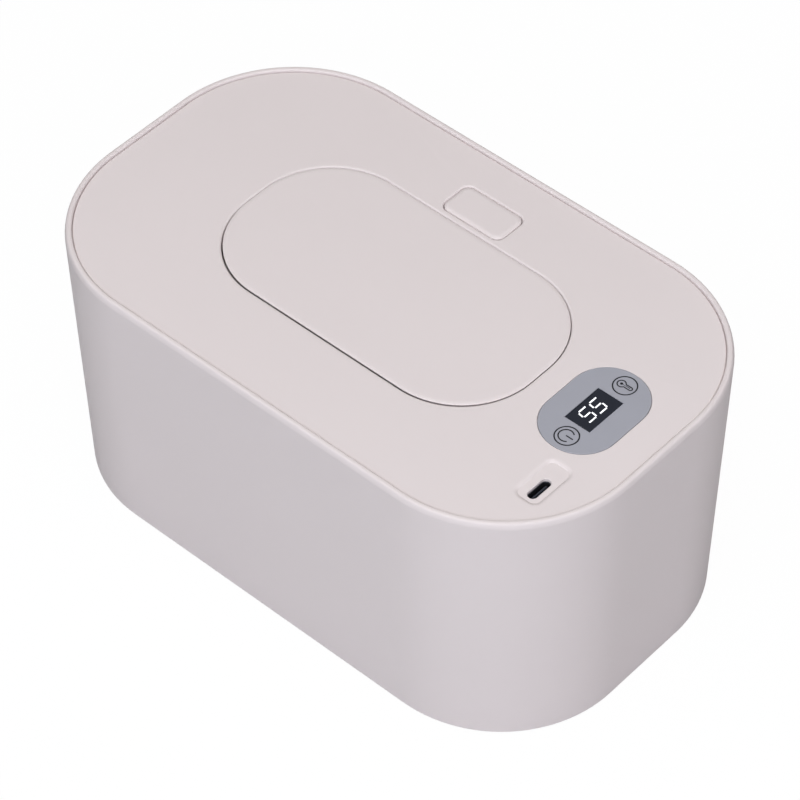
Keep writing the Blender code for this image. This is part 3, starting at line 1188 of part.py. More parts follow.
def build_button(material):
    """Button cap with a guiding wall and two legs whose slanted slots drive the latch bar."""
    top = COVER_TOP + BUTTON_PROUD
    length = BUTTON_OPENING_LENGTH - 2 * BUTTON_SEAM
    width = BUTTON_OPENING_WIDTH - 2 * BUTTON_SEAM
    corner = BUTTON_OPENING_CORNER - BUTTON_SEAM
    centre = (0.0, BUTTON_CENTRE_Y)
    profile = [
        (BUTTON_WALL, BUTTON_UNDERSIDE),
        (BUTTON_WALL, top - BUTTON_CAP - BUTTON_WALL_DEPTH),
        (0.0, top - BUTTON_CAP - BUTTON_WALL_DEPTH),
    ]
    profile += rounding(BUTTON_EDGE_ROUND, top - BUTTON_EDGE_ROUND, BUTTON_EDGE_ROUND, 0, 90, 3)
    sections = []
    for inset, height in profile:
        outline = rounded_outline(length - 2 * inset, width - 2 * inset, corner - inset, centre, 4)
        sections.append((outline, height))
    button = loft("latch_button", sections, material)
    notch = LEG_OFFSET - GAP
    low = (-notch, BUTTON_CENTRE_Y - width, BAR_BOTTOM)
    cut(button, box("button_notch", low, (notch, BUTTON_CENTRE_Y + width, BAR_TOP + BUTTON_TRAVEL + GAP)))
    low_y = TRUNNION_Y - LEG_WIDTH * LEG_FRONT_SHARE
    for side, word in ((-1, "left"), (1, "right")):
        low_x, high_x = sorted((side * LEG_OFFSET, side * (LEG_OFFSET + LEG_THICKNESS)))
        low = (low_x, low_y, top - BUTTON_CAP - LEG_DEPTH + BUTTON_TRAVEL)
        high = (high_x, low_y + LEG_WIDTH, top - BUTTON_CAP / 2)
        add(button, box(f"button_leg_{word}", low, high))
        cut(button, along_x(f"button_slot_{word}", slot_outline(), low_x - OVERRUN, high_x + OVERRUN))
    return button


def slot_outline():
    """Slanted slot in the button's leg: the trunnion's run at 45 degrees, with clearance."""
    radius = TRUNNION_RADIUS + GAP
    half = BOSS_SIDES // 2
    points = []
    for start, shift in ((3 * pi / 4, 0.0), (-pi / 4, BUTTON_TRAVEL)):
        for step in range(half + 1):
            angle = start + pi * step / half
            y = TRUNNION_Y + shift + radius * cos(angle)
            points.append((y, TRUNNION_Z + shift + radius * sin(angle)))
    return points


def build_latch_bar(material):
    """Sliding latch bar: nose towards the lid, a window round the spring, and two trunnions."""
    half = BAR_HALF_WIDTH
    nose = half - BAR_NOSE_INSET
    tip = LID_OPENING_WIDTH / 2 - CATCH_LIP_GAP + BAR_TIP_GAP
    shoulder = LID_OPENING_WIDTH / 2 + WELL_WALL + BUTTON_TRAVEL / 2
    back = BUTTON_CENTRE_Y + BAR_BACK
    plan = [
        (-nose, tip), (nose, tip), (nose, shoulder), (half, shoulder),
        (half, back), (-half, back), (-half, shoulder), (-nose, shoulder),
    ]
    bar = prism("latch_bar", plan, BAR_BOTTOM, BAR_TOP, material)
    spring_y = BUTTON_CENTRE_Y + BUTTON_SPRING_OFFSET_Y
    window_high = spring_y + BUTTON_SPRING_RADIUS + BUTTON_SPRING_WIRE / 2 + GAP
    low = (-BAR_WINDOW_WIDTH / 2, window_high - BAR_WINDOW_LENGTH, BAR_BOTTOM - OVERRUN)
    cut(bar, box("bar_window", low, (BAR_WINDOW_WIDTH / 2, window_high, BAR_TOP + OVERRUN)))
    slope = [
        (tip - OVERRUN, BAR_TOP - BAR_NOSE_SLOPE - OVERRUN),
        (tip + BAR_NOSE_SLOPE + OVERRUN, BAR_TOP + OVERRUN),
        (tip - OVERRUN, BAR_TOP + OVERRUN),
    ]
    cut(bar, along_x("bar_slope", slope, -half - OVERRUN, half + OVERRUN))
    trunnion = circle(TRUNNION_RADIUS, BOSS_SIDES, (TRUNNION_Y, TRUNNION_Z))
    for side, word in ((-1, "left"), (1, "right")):
        reach = LEG_OFFSET + LEG_THICKNESS + GAP
        low_x, high_x = sorted((side * (half - OVERRUN), side * reach))
        add(bar, along_x(f"trunnion_{word}", trunnion, low_x, high_x))
    return bar


def build_latch_bracket(material):
    """Bracket under the button: floor with leg slots, side ribs, spring cup and two screw holes."""
    front = BUTTON_CENTRE_Y - BRACKET_FRONT
    back = BUTTON_CENTRE_Y + BRACKET_BACK
    low = (-BRACKET_LENGTH / 2, front, BRACKET_BOTTOM)
    bracket = box("latch_bracket", low, (BRACKET_LENGTH / 2, back, BRACKET_TOP), material)
    spring = (0.0, BUTTON_CENTRE_Y + BUTTON_SPRING_OFFSET_Y)
    cup_inner = BUTTON_SPRING_RADIUS + BUTTON_SPRING_WIRE / 2 + GAP
    cup_outer = cup_inner + BRACKET_CUP_WALL
    cup_floor = BRACKET_TOP - BRACKET_CUP_DEPTH
    profile = [(cup_outer, cup_floor - BRACKET_CUP_WALL), (cup_outer, BRACKET_TOP - BRACKET_FLOOR / 2)]
    add(bracket, turned("spring_cup", profile, spring, BOSS_SIDES))
    rib_start = LEG_OFFSET + LEG_THICKNESS + 2 * GAP
    rib_top = BUTTON_UNDERSIDE - BUTTON_WALL_DEPTH - BUTTON_TRAVEL - GAP
    slot_low = TRUNNION_Y - LEG_WIDTH * LEG_FRONT_SHARE - GAP
    for side, word in ((-1, "left"), (1, "right")):
        low_x, high_x = sorted((side * rib_start, side * (rib_start + BRACKET_RIB)))
        low = (low_x, front + GAP, BRACKET_BOTTOM + GAP)
        add(bracket, box(f"bracket_rib_{word}", low, (high_x, back - GAP, rib_top)))
        low_x, high_x = sorted((side * (LEG_OFFSET - GAP), side * (LEG_OFFSET + LEG_THICKNESS + GAP)))
        low = (low_x, slot_low, BRACKET_BOTTOM - OVERRUN)
        high = (high_x, slot_low + LEG_WIDTH + 2 * GAP, BRACKET_TOP + OVERRUN)
        cut(bracket, box(f"leg_slot_{word}", low, high))
    profile = [(cup_inner, cup_floor), (cup_inner, BRACKET_TOP + OVERRUN)]
    cut(bracket, turned("cup_room", profile, spring, BOSS_SIDES))
    for index, place in enumerate(LATCH_SCREW_PLACES):
        hole = [(SCREW_CLEAR_RADIUS, BRACKET_BOTTOM - OVERRUN), (SCREW_CLEAR_RADIUS, BRACKET_TOP + OVERRUN)]
        cut(bracket, turned(f"bracket_hole_{index}", hole, place, SCREW_SIDES))
    return bracket


def build_button_spring(material):
    bottom = BRACKET_TOP - BRACKET_CUP_DEPTH + GAP
    height = BUTTON_UNDERSIDE - GAP - bottom
    place = (0.0, BUTTON_CENTRE_Y + BUTTON_SPRING_OFFSET_Y)
    coil_spring(
        "button_spring", place, bottom, height,
        BUTTON_SPRING_RADIUS, BUTTON_SPRING_WIRE, BUTTON_SPRING_COILS, material,
    )


def build_hinge(pin_material, spring_material):
    """Steel pins in the pockets' walls and a wound spring on each, beside the lid's arm."""
    inset = GAP
    for side, word in ((-1, "left"), (1, "right")):
        start = POCKET_START - POCKET_WALL + inset
        stop = POCKET_START + POCKET_WIDTH + POCKET_WALL - inset
        low_x, high_x = sorted((side * start, side * stop))
        pin = circle(PIN_RADIUS, PIN_SIDES, (HINGE_Y, HINGE_Z))
        along_x(f"hinge_pin_{word}", pin, low_x, high_x, pin_material)
        points = hinge_spring_points(side)
        gap = least_gap_to_itself(points, SPRING_WIRE, 5)
        print(f"hinge_spring_{word}: least gap to itself {gap / MM:.2f} mm")
        tube(f"hinge_spring_{word}", points, SPRING_WIRE / 2, 1, spring_material)


def hinge_spring_points(side):
    """Torsion spring: a leg under the cover, coils round the pin, and a leg below the lid's tray."""
    radius = PIN_RADIUS + GAP + SPRING_WIRE / 2
    steps = COIL_STEPS
    start_x = POCKET_START + ARM_SIDE_PLAY + ARM_WIDTH + GAP + SPRING_WIRE
    count = SPRING_COILS * steps
    points = [(side * start_x, HINGE_Y - SPRING_LEG, HINGE_Z + radius)]
    points.append((side * start_x, HINGE_Y - radius, HINGE_Z + radius))
    for index in range(count + 1):
        turn = pi / 2 - 2 * pi * index / steps
        x = start_x + SPRING_PITCH * SPRING_COILS * index / count
        points.append((side * x, HINGE_Y + radius * cos(turn), HINGE_Z + radius * sin(turn)))
    points.append((side * x, HINGE_Y + radius, HINGE_Z + radius))
    points.append((side * x, HINGE_Y + SPRING_LEG, HINGE_Z + radius))
    return points


def build():
    clear_scene()
    shell_white = make_material("shell_white", (0.76, 0.70, 0.69), 0.45)
    inner_white = make_material("inner_white", (0.80, 0.78, 0.76), 0.5)
    silicone = make_material("silicone_grey", (0.62, 0.62, 0.64), 0.6)
    rubber = make_material("foot_rubber", (0.20, 0.20, 0.21), 0.8)
    panel_grey = make_material("panel_grey", (0.38, 0.39, 0.45), 0.3)
    lens_black = make_material("lens_black", (0.015, 0.018, 0.03), 0.15)
    module_black = make_material("module_black", (0.02, 0.02, 0.02), 0.5)
    aluminium = make_material("aluminium", (0.75, 0.75, 0.76), 0.35, 1.0)
    heating_foil = make_material("heating_foil", (0.55, 0.22, 0.05), 0.4)
    insulation = make_material("insulation_foam", (0.82, 0.81, 0.78), 0.9)
    board_green = make_material("board_green", (0.02, 0.16, 0.07), 0.4)
    steel = make_material("steel", (0.62, 0.62, 0.62), 0.3, 1.0)
    plated = make_material("plated_steel", (0.7, 0.7, 0.7), 0.25, 1.0)
    tongue_black = make_material("tongue_black", (0.03, 0.03, 0.03), 0.5)
    sensor_black = make_material("sensor_black", (0.03, 0.03, 0.03), 0.5)
    fuse_white = make_material("fuse_white", (0.85, 0.83, 0.78), 0.4)
    lead_red = make_material("lead_red", (0.5, 0.02, 0.02), 0.5)
    lead_black = make_material("lead_black", (0.02, 0.02, 0.02), 0.5)
    build_outer_shell(shell_white)
    build_inner_tub(inner_white)
    build_base_plate(shell_white)
    build_feet(rubber)
    build_lift_plate(inner_white)
    build_lift_springs(steel)
    build_top_cover(shell_white)
    build_inner_cover(inner_white)
    build_heater(aluminium, heating_foil, insulation, sensor_black, fuse_white)
    build_heater_leads([lead_red, lead_black])
    build_dispensing_insert(silicone)
    build_cover_gasket(silicone)
    build_control_board(board_green, plated)
    build_panel(panel_grey, lens_black, module_black)
    build_port(plated, tongue_black)
    build_lid(shell_white, inner_white, silicone)
    build_button(shell_white)
    build_latch_bar(inner_white)
    build_latch_bracket(inner_white)
    build_button_spring(steel)
    build_hinge(steel, steel)
    build_screws(steel)


build()
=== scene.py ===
"""Baby wipe warmer: fine shapes, finishes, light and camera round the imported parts.

Metres, +Z up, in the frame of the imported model. +X is the display end, +Y the side of the lid's button.
"""

import json
from math import cos, pi, radians, sin, tan

import bmesh
import bpy
from bpy.props import FloatProperty, FloatVectorProperty, PointerProperty
from mathutils import Matrix, Vector

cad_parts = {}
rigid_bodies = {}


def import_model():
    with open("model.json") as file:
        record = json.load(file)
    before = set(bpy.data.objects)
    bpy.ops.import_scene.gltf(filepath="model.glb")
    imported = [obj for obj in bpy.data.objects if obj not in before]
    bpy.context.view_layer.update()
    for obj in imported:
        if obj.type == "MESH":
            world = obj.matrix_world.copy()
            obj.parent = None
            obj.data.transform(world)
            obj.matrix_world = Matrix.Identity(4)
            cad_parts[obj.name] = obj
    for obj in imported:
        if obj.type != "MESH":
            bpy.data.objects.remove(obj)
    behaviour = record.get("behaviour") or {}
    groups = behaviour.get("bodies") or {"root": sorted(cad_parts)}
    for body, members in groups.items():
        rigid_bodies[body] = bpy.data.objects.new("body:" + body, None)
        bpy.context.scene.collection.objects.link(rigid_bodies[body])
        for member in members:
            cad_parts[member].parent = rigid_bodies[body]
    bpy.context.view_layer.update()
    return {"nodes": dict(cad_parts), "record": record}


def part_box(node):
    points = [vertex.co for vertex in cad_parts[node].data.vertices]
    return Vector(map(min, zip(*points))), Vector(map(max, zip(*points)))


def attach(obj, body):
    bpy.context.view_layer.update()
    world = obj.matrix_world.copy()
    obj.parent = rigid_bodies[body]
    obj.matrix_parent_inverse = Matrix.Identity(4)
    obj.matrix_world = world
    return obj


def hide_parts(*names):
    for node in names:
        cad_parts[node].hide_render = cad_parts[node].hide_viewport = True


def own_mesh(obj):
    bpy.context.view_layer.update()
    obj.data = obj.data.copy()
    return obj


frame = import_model()

bl_info = {
    "name": "Wipe warmer finish",
    "version": (1, 0, 0),
    "blender": (4, 5, 0),
    "location": "View3D > Sidebar > Wipe warmer",
    "description": "Builds the visible shapes and finishes of a baby wipe warmer round its packed parts",
    "category": "Object",
}

MM = 0.001
CORNER_STEPS = 26
SMALL_STEPS = 12
OVERRUN = 1.0 * MM
FINE = 0.02 * MM
FLAT_AREA = 60 * MM * MM
FLAT_TILT = 0.9999
MOUTH_LENGTH = 76 * MM
MOUTH_WIDTH = 36 * MM
MOUTH_CORNER = 17.9 * MM
INK_SUNK = 0.003 * MM
INK_RAISED = 0.015 * MM
WELD_GAP = 0.001 * MM
INNER_ROUND = 0.15 * MM

# Widths and sizes of the printed and lit lines, in millimetres
SIGN_RADIUS = 3.69
SIGN_LINE = 0.43
POWER_LINE = 0.42
THIN_LINE = 0.16
SEGMENT_LINE = 0.5


# Properties


def distance(name, default, description, lowest=0.0):
    """A size in millimetres, kept in metres."""
    return FloatProperty(
        name=name, description=description, default=default * MM, min=lowest,
        unit="LENGTH", subtype="DISTANCE", precision=5,
    )


def shift(name, default, description):
    """A distance in millimetres that may point either way, kept in metres."""
    return distance(name, default, description, -1.0)


def linear_light(value):
    """A level from 0 to 255 on screen as a share of full light."""
    share = value / 255
    return share / 12.92 if value <= 10 else ((share + 0.055) / 1.055) ** 2.4


def tint(name, default, description):
    """A colour given as it looks on screen, from 0 to 255, kept as linear light."""
    linear = [linear_light(value) for value in default]
    return FloatVectorProperty(
        name=name, description=description, default=linear, size=3, min=0.0, max=1.0, subtype="COLOR"
    )


class WarmerSizes(bpy.types.PropertyGroup):
    """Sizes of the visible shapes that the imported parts' boxes don't give."""

    body_corner: distance("Body corner", 47.4, "Corner radius of the body seen from above")
    body_draft: distance("Body draft", 2.66, "How far the wall draws in from the rim to the foot")
    shell_wall: distance("Shell wall", 2.35, "Width of the rim and of the wall below it")
    rim_rise: distance("Rim rise", 0.38, "How far the rim's crest stands above the packed rim")
    foot_drop: distance("Foot drop", 0.3, "How far the wall's lower edge hangs below the packed one")
    rim_shoulder_round: distance("Rim shoulder round", 4.2, "Slow round of the wall below the rim")
    rim_outer_round: distance("Rim outer round", 0.9, "Round on the rim's outer edge")
    rim_inner_round: distance("Rim inner round", 0.7, "Round on the rim's inner edge")
    rim_seam: distance("Rim seam", 0.12, "Gap between the rim and the cover")
    rim_seam_depth: distance("Rim seam depth", 0.65, "Depth at which a rib of the cover closes the gap")
    cover_edge_round: distance("Cover edge round", 0.5, "Round on the cover's outer edge")
    opening_round: distance("Opening round", 0.8, "Round on the edge of the lid's opening")
    lid_growth: distance("Lid growth", 0.1, "How far the lid's visible edge stands outside the packed lid")
    lid_seam: distance("Lid seam", 0.15, "Gap round the lid on its free sides")
    lid_shift_x: shift("Lid shift along X", -0.12, "How far the lid sits from the packed one along X")
    lid_shift_y: shift("Lid shift along Y", 0.4, "How far the lid sits from the packed one along Y")
    lid_hinge_seam: distance("Lid hinge seam", 0.45, "Gap along the lid's hinge side")
    lid_corner: distance("Lid corner", 27.2, "Corner radius of the lid")
    lid_edge_round: distance("Lid edge round", 0.26, "Round on the lid's upper edge")
    lid_soft_round: distance("Lid soft round", 4.0, "Slow round that leads from the lid's edge into its top")
    lid_thickness: distance("Lid thickness", 2.0, "Thickness of the lid's upper plate")
    button_corner: distance("Button corner", 2.95, "Corner radius of the button")
    button_seam: distance("Button seam", 0.11, "Gap round the button")
    button_growth: distance("Button growth", 0.17, "How far the button's edge stands outside the packed one")
    button_edge_round: distance("Button edge round", 0.5, "Round on the button's upper edge")
    button_soft_round: distance("Button soft round", 2.6, "Slow round from the button's edge into its top")
    button_shift_y: shift("Button shift along Y", 0.16, "How far the button sits from the packed one along Y")
    button_opening_round: distance("Button opening round", 0.7, "Round on the edge of the button's opening")
    panel_corner: distance("Panel corner", 12.43, "Corner radius of the panel film")
    window_growth: distance("Window growth", 0.13, "How far the window's edge stands outside the packed one")
    window_shift_x: shift("Window shift along X", 0.25, "How far the window sits from the packed one along X")
    window_shift_y: shift("Window shift along Y", -0.1, "How far the window sits from the packed one along Y")
    panel_shift: distance("Panel shift", 0.17, "How far the film sits towards the end from the packed film")
    recess_length: distance("Inlet recess length", 9.6, "Size of the power inlet's recess along X")
    recess_width: distance("Inlet recess width", 18.2, "Size of the power inlet's recess along Y")
    recess_corner: distance("Inlet recess corner", 3.1, "Corner radius of the inlet's recess")
    recess_depth: distance("Inlet recess depth", 0.62, "Depth of the inlet's recess")
    recess_wall: distance("Inlet recess wall", 1.5, "Width of the recess's sloping wall seen from above")


class WarmerColours(bpy.types.PropertyGroup):
    """Colours of the finishes."""

    shell: tint("Shell", (225, 213.5, 212), "Warm off-white of the outer plastic")
    inner: tint("Inner plastic", (232, 230, 226), "White of the inner mouldings")
    silicone: tint("Silicone", (205, 205, 208), "Soft grey of the mouth and the seals")
    rubber: tint("Rubber", (66, 66, 68), "Dark grey of the feet")
    film: tint("Panel film", (164, 163, 171), "Grey of the touch panel")
    print_ink: tint("Print", (8, 9, 14), "Dark ink of the two signs")
    lens: tint("Display window", (33, 36, 46), "Smoked window over the digits")
    digits: tint("Digits", (252, 252, 255), "White of the lit segments")


# Shader sums


class Term:
    """A shader socket that takes part in Python sums."""

    def __init__(self, finish, socket):
        self.finish = finish
        self.socket = socket

    def maths(self, operation, *values):
        """A new term from a Math node on the values."""
        return self.finish.node("ShaderNodeMath", {"operation": operation}, dict(enumerate(values)))

    def __add__(self, other):
        return self.maths("ADD", self, other)

    def __sub__(self, other):
        return self.maths("SUBTRACT", self, other)

    def __rsub__(self, other):
        return self.maths("SUBTRACT", other, self)

    def __mul__(self, other):
        return self.maths("MULTIPLY", self, other)

    def __gt__(self, other):
        return self.maths("GREATER_THAN", self, other)

    def __lt__(self, other):
        return self.maths("LESS_THAN", self, other)

    def within(self, low, high):
        """This value, held between a low and a high end."""
        return self.maths("MAXIMUM", self.maths("MINIMUM", self, high), low)

    __radd__ = __add__
    __rmul__ = __mul__


class Finish:
    """One procedural material and its node tree."""

    def __init__(self, name, **settings):
        self.material = bpy.data.materials.new(name)
        self.material.use_nodes = True
        self.tree = self.material.node_tree
        self.shader = self.tree.nodes["Principled BSDF"]
        for key, value in settings.items():
            self.set(key.replace("_", " ").title().replace("Ior", "IOR"), value)

    def set(self, socket, value):
        """Give one input of the shader a number, a colour or a term."""
        self.give(self.shader.inputs[socket], value)

    def give(self, socket, value):
        """Link a term to a socket, or write a number or a colour in it."""
        if isinstance(value, Term):
            self.tree.links.new(value.socket, socket)
        elif hasattr(value, "__len__") and len(value) == 3 and socket.type == "RGBA":
            socket.default_value = (*value, 1.0)
        else:
            socket.default_value = value

    def node(self, kind, settings=None, values=None, output=0):
        """Add a node: settings come first, then the values or links of its inputs."""
        node = self.tree.nodes.new(kind)
        for key, value in (settings or {}).items():
            setattr(node, key, value)
        for key, value in (values or {}).items():
            self.give(node.inputs[key], value)
        return Term(self, node.outputs[output])

    def place(self):
        """The point on the piece, in metres in its own frame."""
        return self.node("ShaderNodeTexCoord", output="Object")

    def noise(self, grain, detail=3.0, roughness=0.5):
        """Noise from 0 to 1 whose patches are about as wide as the grain."""
        values = {"Vector": self.place(), "Scale": 1.0 / grain, "Detail": detail, "Roughness": roughness}
        return self.node("ShaderNodeTexNoise", None, values, "Fac")

    def mix(self, factor, first, second):
        """A colour between two colours, through the inputs and the output that a Mix node has for them."""
        return self.node("ShaderNodeMix", {"data_type": "RGBA"}, {0: factor, 6: first, 7: second}, 2)

    def bump(self, height, depth):
        """Raise the surface by the height, whose full scale is the depth in metres."""
        values = {"Height": height, "Distance": depth, "Strength": 1.0}
        self.set("Normal", self.node("ShaderNodeBump", None, values))


def shade(colour, share):
    """The colour, lighter or darker by a share."""
    return [min(1.0, value * share) for value in colour]


# Outlines and meshes


def rounded(length, width, corner, centre=(0.0, 0.0), steps=CORNER_STEPS):
    """Points of a rectangle with round corners, counter-clockwise."""
    points = []
    corner = max(min(corner, length / 2 - FINE, width / 2 - FINE), FINE)
    for quarter, (side_x, side_y) in enumerate([(1, 1), (-1, 1), (-1, -1), (1, -1)]):
        middle_x = centre[0] + side_x * (length / 2 - corner)
        middle_y = centre[1] + side_y * (width / 2 - corner)
        for step in range(steps + 1):
            angle = (quarter + step / steps) * pi / 2
            points.append((middle_x + corner * cos(angle), middle_y + corner * sin(angle)))
    return points


def turns(start, stop, count):
    """Equal steps from start to stop, both included."""
    return [start + (stop - start) * step / count for step in range(count + 1)]


def circle(centre, radius, steps):
    """Points round a circle."""
    return [(centre[0] + radius * cos(a), centre[1] + radius * sin(a)) for a in turns(0, 2 * pi, steps)[:-1]]


def middle_of(low, high):
    """The middle of a box seen from above."""
    return (low.x + high.x) / 2, (low.y + high.y) / 2


def plan(low, high, corner, inset=0.0, middle=None, steps=CORNER_STEPS):
    """A box's outline from above with round corners, moved inwards by the inset."""
    length, width = high.x - low.x - 2 * inset, high.y - low.y - 2 * inset
    return rounded(length, width, corner - inset, middle or middle_of(low, high), steps)


def double_round(top, lower, upper, change, steps=6):
    """Inset and height up an outer edge: one round as far as the angle of change, then another."""
    foot = top - lower * sin(change) - upper * (1 - sin(change))
    points = [(lower * (1 - cos(turn)), foot + lower * sin(turn)) for turn in turns(0, change, steps)]
    inset, height = points[-1]
    for turn in turns(change, pi / 2, steps)[1:]:
        points.append((inset + upper * (cos(change) - cos(turn)), height + upper * (sin(turn) - sin(change))))
    return points


def arc(inset, height, radius, start, stop, steps=6):
    """Inset and height of points on a round edge; 0 degrees points outwards and 90 up."""
    angles = turns(radians(start), radians(stop), steps)
    return [(inset - radius * cos(angle), height + radius * sin(angle)) for angle in angles]


def make_item(name, builder):
    """Turn a bmesh into an object with outward faces."""
    bmesh.ops.recalc_face_normals(builder, faces=builder.faces)
    mesh = bpy.data.meshes.new(name)
    builder.to_mesh(mesh)
    builder.free()
    item = bpy.data.objects.new(name, mesh)
    bpy.context.scene.collection.objects.link(item)
    return item


def add_wall(builder, lower, upper):
    """Join two loops of equal counts of corners with four-sided faces."""
    for index in range(len(lower)):
        after = (index + 1) % len(lower)
        builder.faces.new((lower[index], lower[after], upper[after], upper[index]))


def loft(name, sections, ring=False):
    """Join outlines of equal counts at their heights; a ring closes on its first section."""
    builder = bmesh.new()
    loops = [[builder.verts.new((x, y, height)) for x, y in outline] for outline, height in sections]
    pairs = list(zip(loops, loops[1:] + loops[:1]))
    if not ring:
        pairs.pop()
        builder.faces.new(loops[0])
        builder.faces.new(loops[-1])
    for lower, upper in pairs:
        add_wall(builder, lower, upper)
    return make_item(name, builder)


def block(name, low, high):
    """A plain box between two corners."""
    outline = [(low[0], low[1]), (high[0], low[1]), (high[0], high[1]), (low[0], high[1])]
    return loft(name, [(outline, low[2]), (outline, high[2])])


def lengthwise(name, outline, start, stop):
    """A bar along X with the given outline of Y and Z."""
    builder = bmesh.new()
    loops = [[builder.verts.new((x, y, z)) for y, z in outline] for x in (start, stop)]
    add_wall(builder, *loops)
    for loop in loops:
        builder.faces.new(loop)
    return make_item(name, builder)


def settle(item):
    """Apply the modifiers of a piece."""
    graph = bpy.context.evaluated_depsgraph_get()
    mesh = bpy.data.meshes.new_from_object(item.evaluated_get(graph))
    item.modifiers.clear()
    old = item.data
    item.data = mesh
    bpy.data.meshes.remove(old)


def carve(item, tool, operation="DIFFERENCE"):
    """Cut a tool out of a piece, or join it, and remove the tool."""
    modifier = item.modifiers.new("carve", "BOOLEAN")
    modifier.operation = operation
    modifier.solver = "EXACT"
    modifier.object = tool
    settle(item)
    bpy.data.objects.remove(tool)


def even_out(item):
    """Keep broad faces flat-looking beside narrow rounds."""
    weighted = item.modifiers.new("even_shading", "WEIGHTED_NORMAL")
    weighted.keep_sharp = True
    weighted.weight = 100


def complete(item, finish, body, slot, *nodes, sharp=32):
    """Give a piece its shading, finish and body, and hide the nodes it stands for; the slot argument is not
    used.
    """
    mesh = item.data
    mesh.shade_smooth()
    mesh.set_sharp_from_angle(angle=radians(sharp))
    for face in mesh.polygons:
        face.use_smooth = not (face.area > FLAT_AREA and abs(face.normal.z) > FLAT_TILT)
    mesh.materials.clear()
    mesh.materials.append(Library.get(finish))
    even_out(item)
    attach(item, body)
    if nodes:
        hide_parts(*nodes)
    return item


def turned(name, profile, centre, steps=48):
    """A round piece from the radius and height of its profile."""
    return loft(name, [(circle(centre, radius, steps), height) for radius, height in profile])


def wire(name, path, radius, sides=12):
    """A round wire along a path of points, with flat ends."""
    builder = bmesh.new()
    points = [Vector(point) for point in path]
    loops = []
    across = None
    for index, point in enumerate(points):
        along = (points[min(index + 1, len(points) - 1)] - points[max(index - 1, 0)]).normalized()
        if across is None:
            across = along.orthogonal().normalized()
        across = (across - along * across.dot(along)).normalized()
        other = along.cross(across)
        ring = [point + radius * (cos(a) * across + sin(a) * other) for a in turns(0, 2 * pi, sides)[:-1]]
        loops.append([builder.verts.new(place) for place in ring])
    for lower, upper in zip(loops, loops[1:]):
        add_wall(builder, lower, upper)
    builder.faces.new(loops[0])
    builder.faces.new(loops[-1])
    return make_item(name, builder)


def coil(centre, bottom, height, radius, thickness, coils, closing=0.8, steps=30):
    """The middle line of an upright spring whose end turns lie close."""
    count = coils * steps
    rise = height - thickness
    path = []
    for index in range(count + 1):
        share = index / count
        lift = share - closing * sin(2 * pi * share) / (2 * pi)
        angle = 2 * pi * index / steps
        height_here = bottom + thickness / 2 + rise * lift
        path.append((centre[0] + radius * cos(angle), centre[1] + radius * sin(angle), height_here))
    return path


def body_of(node):
    """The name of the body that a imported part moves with."""
    return frame["nodes"][node].parent.name.split(":")[1]


def centre_of(node):
    """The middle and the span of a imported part's box."""
    low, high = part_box(node)
    return (low + high) / 2, high - low


def button_middle(sizes):
    """The middle of the button seen from above, moved to where the picture shows it."""
    x, y = middle_of(*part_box("latch_button"))
    return x, y + sizes.button_shift_y


def panel_middle(sizes):
    """The middle of the panel film seen from above, moved to where the picture shows it."""
    x, y = middle_of(*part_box("panel_film"))
    return x + sizes.panel_shift, y


def window_box(sizes):
    """The display window's corners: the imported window, moved to where the picture shows it."""
    low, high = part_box("display_lens")
    move = Vector((sizes.window_shift_x, sizes.window_shift_y, 0.0))
    growth = Vector((sizes.window_growth, sizes.window_growth, 0.0))
    return low + move - growth, high + move + growth


def body_outline(sizes, inset):
    """The outline of the body at the rim's height, moved inwards by the inset."""
    _, span = centre_of("outer_shell")
    return rounded(span.x - 2 * inset, span.y - 2 * inset, sizes.body_corner - inset)


def lid_outline(sizes, inset):
    """The lid's outline, moved inwards by the inset."""
    low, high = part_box("lid_outer")
    x, y = middle_of(low, high)
    return plan(low, high, sizes.lid_corner, inset, (x + sizes.lid_shift_x, y + sizes.lid_shift_y))


def opening_outline(sizes, outset):
    """The outline of the lid's opening, moved outwards by the outset."""
    low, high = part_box("lid_outer")
    far = high.y + sizes.lid_growth + sizes.lid_seam + outset
    near = low.y - sizes.lid_growth - sizes.lid_hinge_seam - outset
    length = high.x - low.x + 2 * (sizes.lid_growth + sizes.lid_seam + outset)
    middle = (sizes.lid_shift_x, (near + far) / 2 + sizes.lid_shift_y)
    return rounded(length, far - near, sizes.lid_corner + sizes.lid_seam + outset, middle)


# Finishes


def plastic_finish(name, colour, roughness=0.52, grain_depth=0.011):
    """Moulded plastic with a fine eroded grain, slow changes of tone, a painted highlight on convex edges and
    a little less roughness there.
    """
    finish = Finish(name, roughness=roughness, ior=1.46, specular_ior_level=0.34)
    tone = finish.noise(38 * MM, 2.0)
    mottle = finish.noise(4.5 * MM, 3.0)
    pointed = finish.node("ShaderNodeNewGeometry", output="Pointiness")
    # Convex edges: the lighter colour there is a painted highlight, and the lower roughness makes them look
    # slightly rubbed.
    highlight_and_rub = ((pointed - 0.52) * 7.0).within(0.0, 1.0)
    blend = (tone * 0.75 + mottle * 0.25).within(0.0, 1.0)
    base = finish.mix(blend, shade(colour, 0.982), shade(colour, 1.016))
    # Painted highlight: convex edges mixed towards a lighter copy of the colour.
    finish.set("Base Color", finish.mix(highlight_and_rub * 0.12, base, shade(colour, 1.06)))
    finish.set("Roughness", tone * 0.06 + mottle * 0.05 + (roughness - 0.055) - highlight_and_rub * 0.06)
    grain = finish.noise(0.32 * MM, 2.0, 0.6)
    finish.bump(grain + finish.noise(2.2 * MM, 1.0) * 0.6, grain_depth * MM)
    return finish.material


def film_finish(name, colour):
    """Smooth printed film with a faint orange-peel and a light coat."""
    finish = Finish(name, roughness=0.34, ior=1.5, coat_weight=0.25, coat_roughness=0.12)
    tone = finish.noise(9 * MM, 2.0)
    finish.set("Base Color", finish.mix(tone, shade(colour, 0.975), shade(colour, 1.03)))
    finish.set("Roughness", tone * 0.08 + 0.3)
    finish.bump(finish.noise(0.9 * MM, 1.0), 0.004 * MM)
    return finish.material


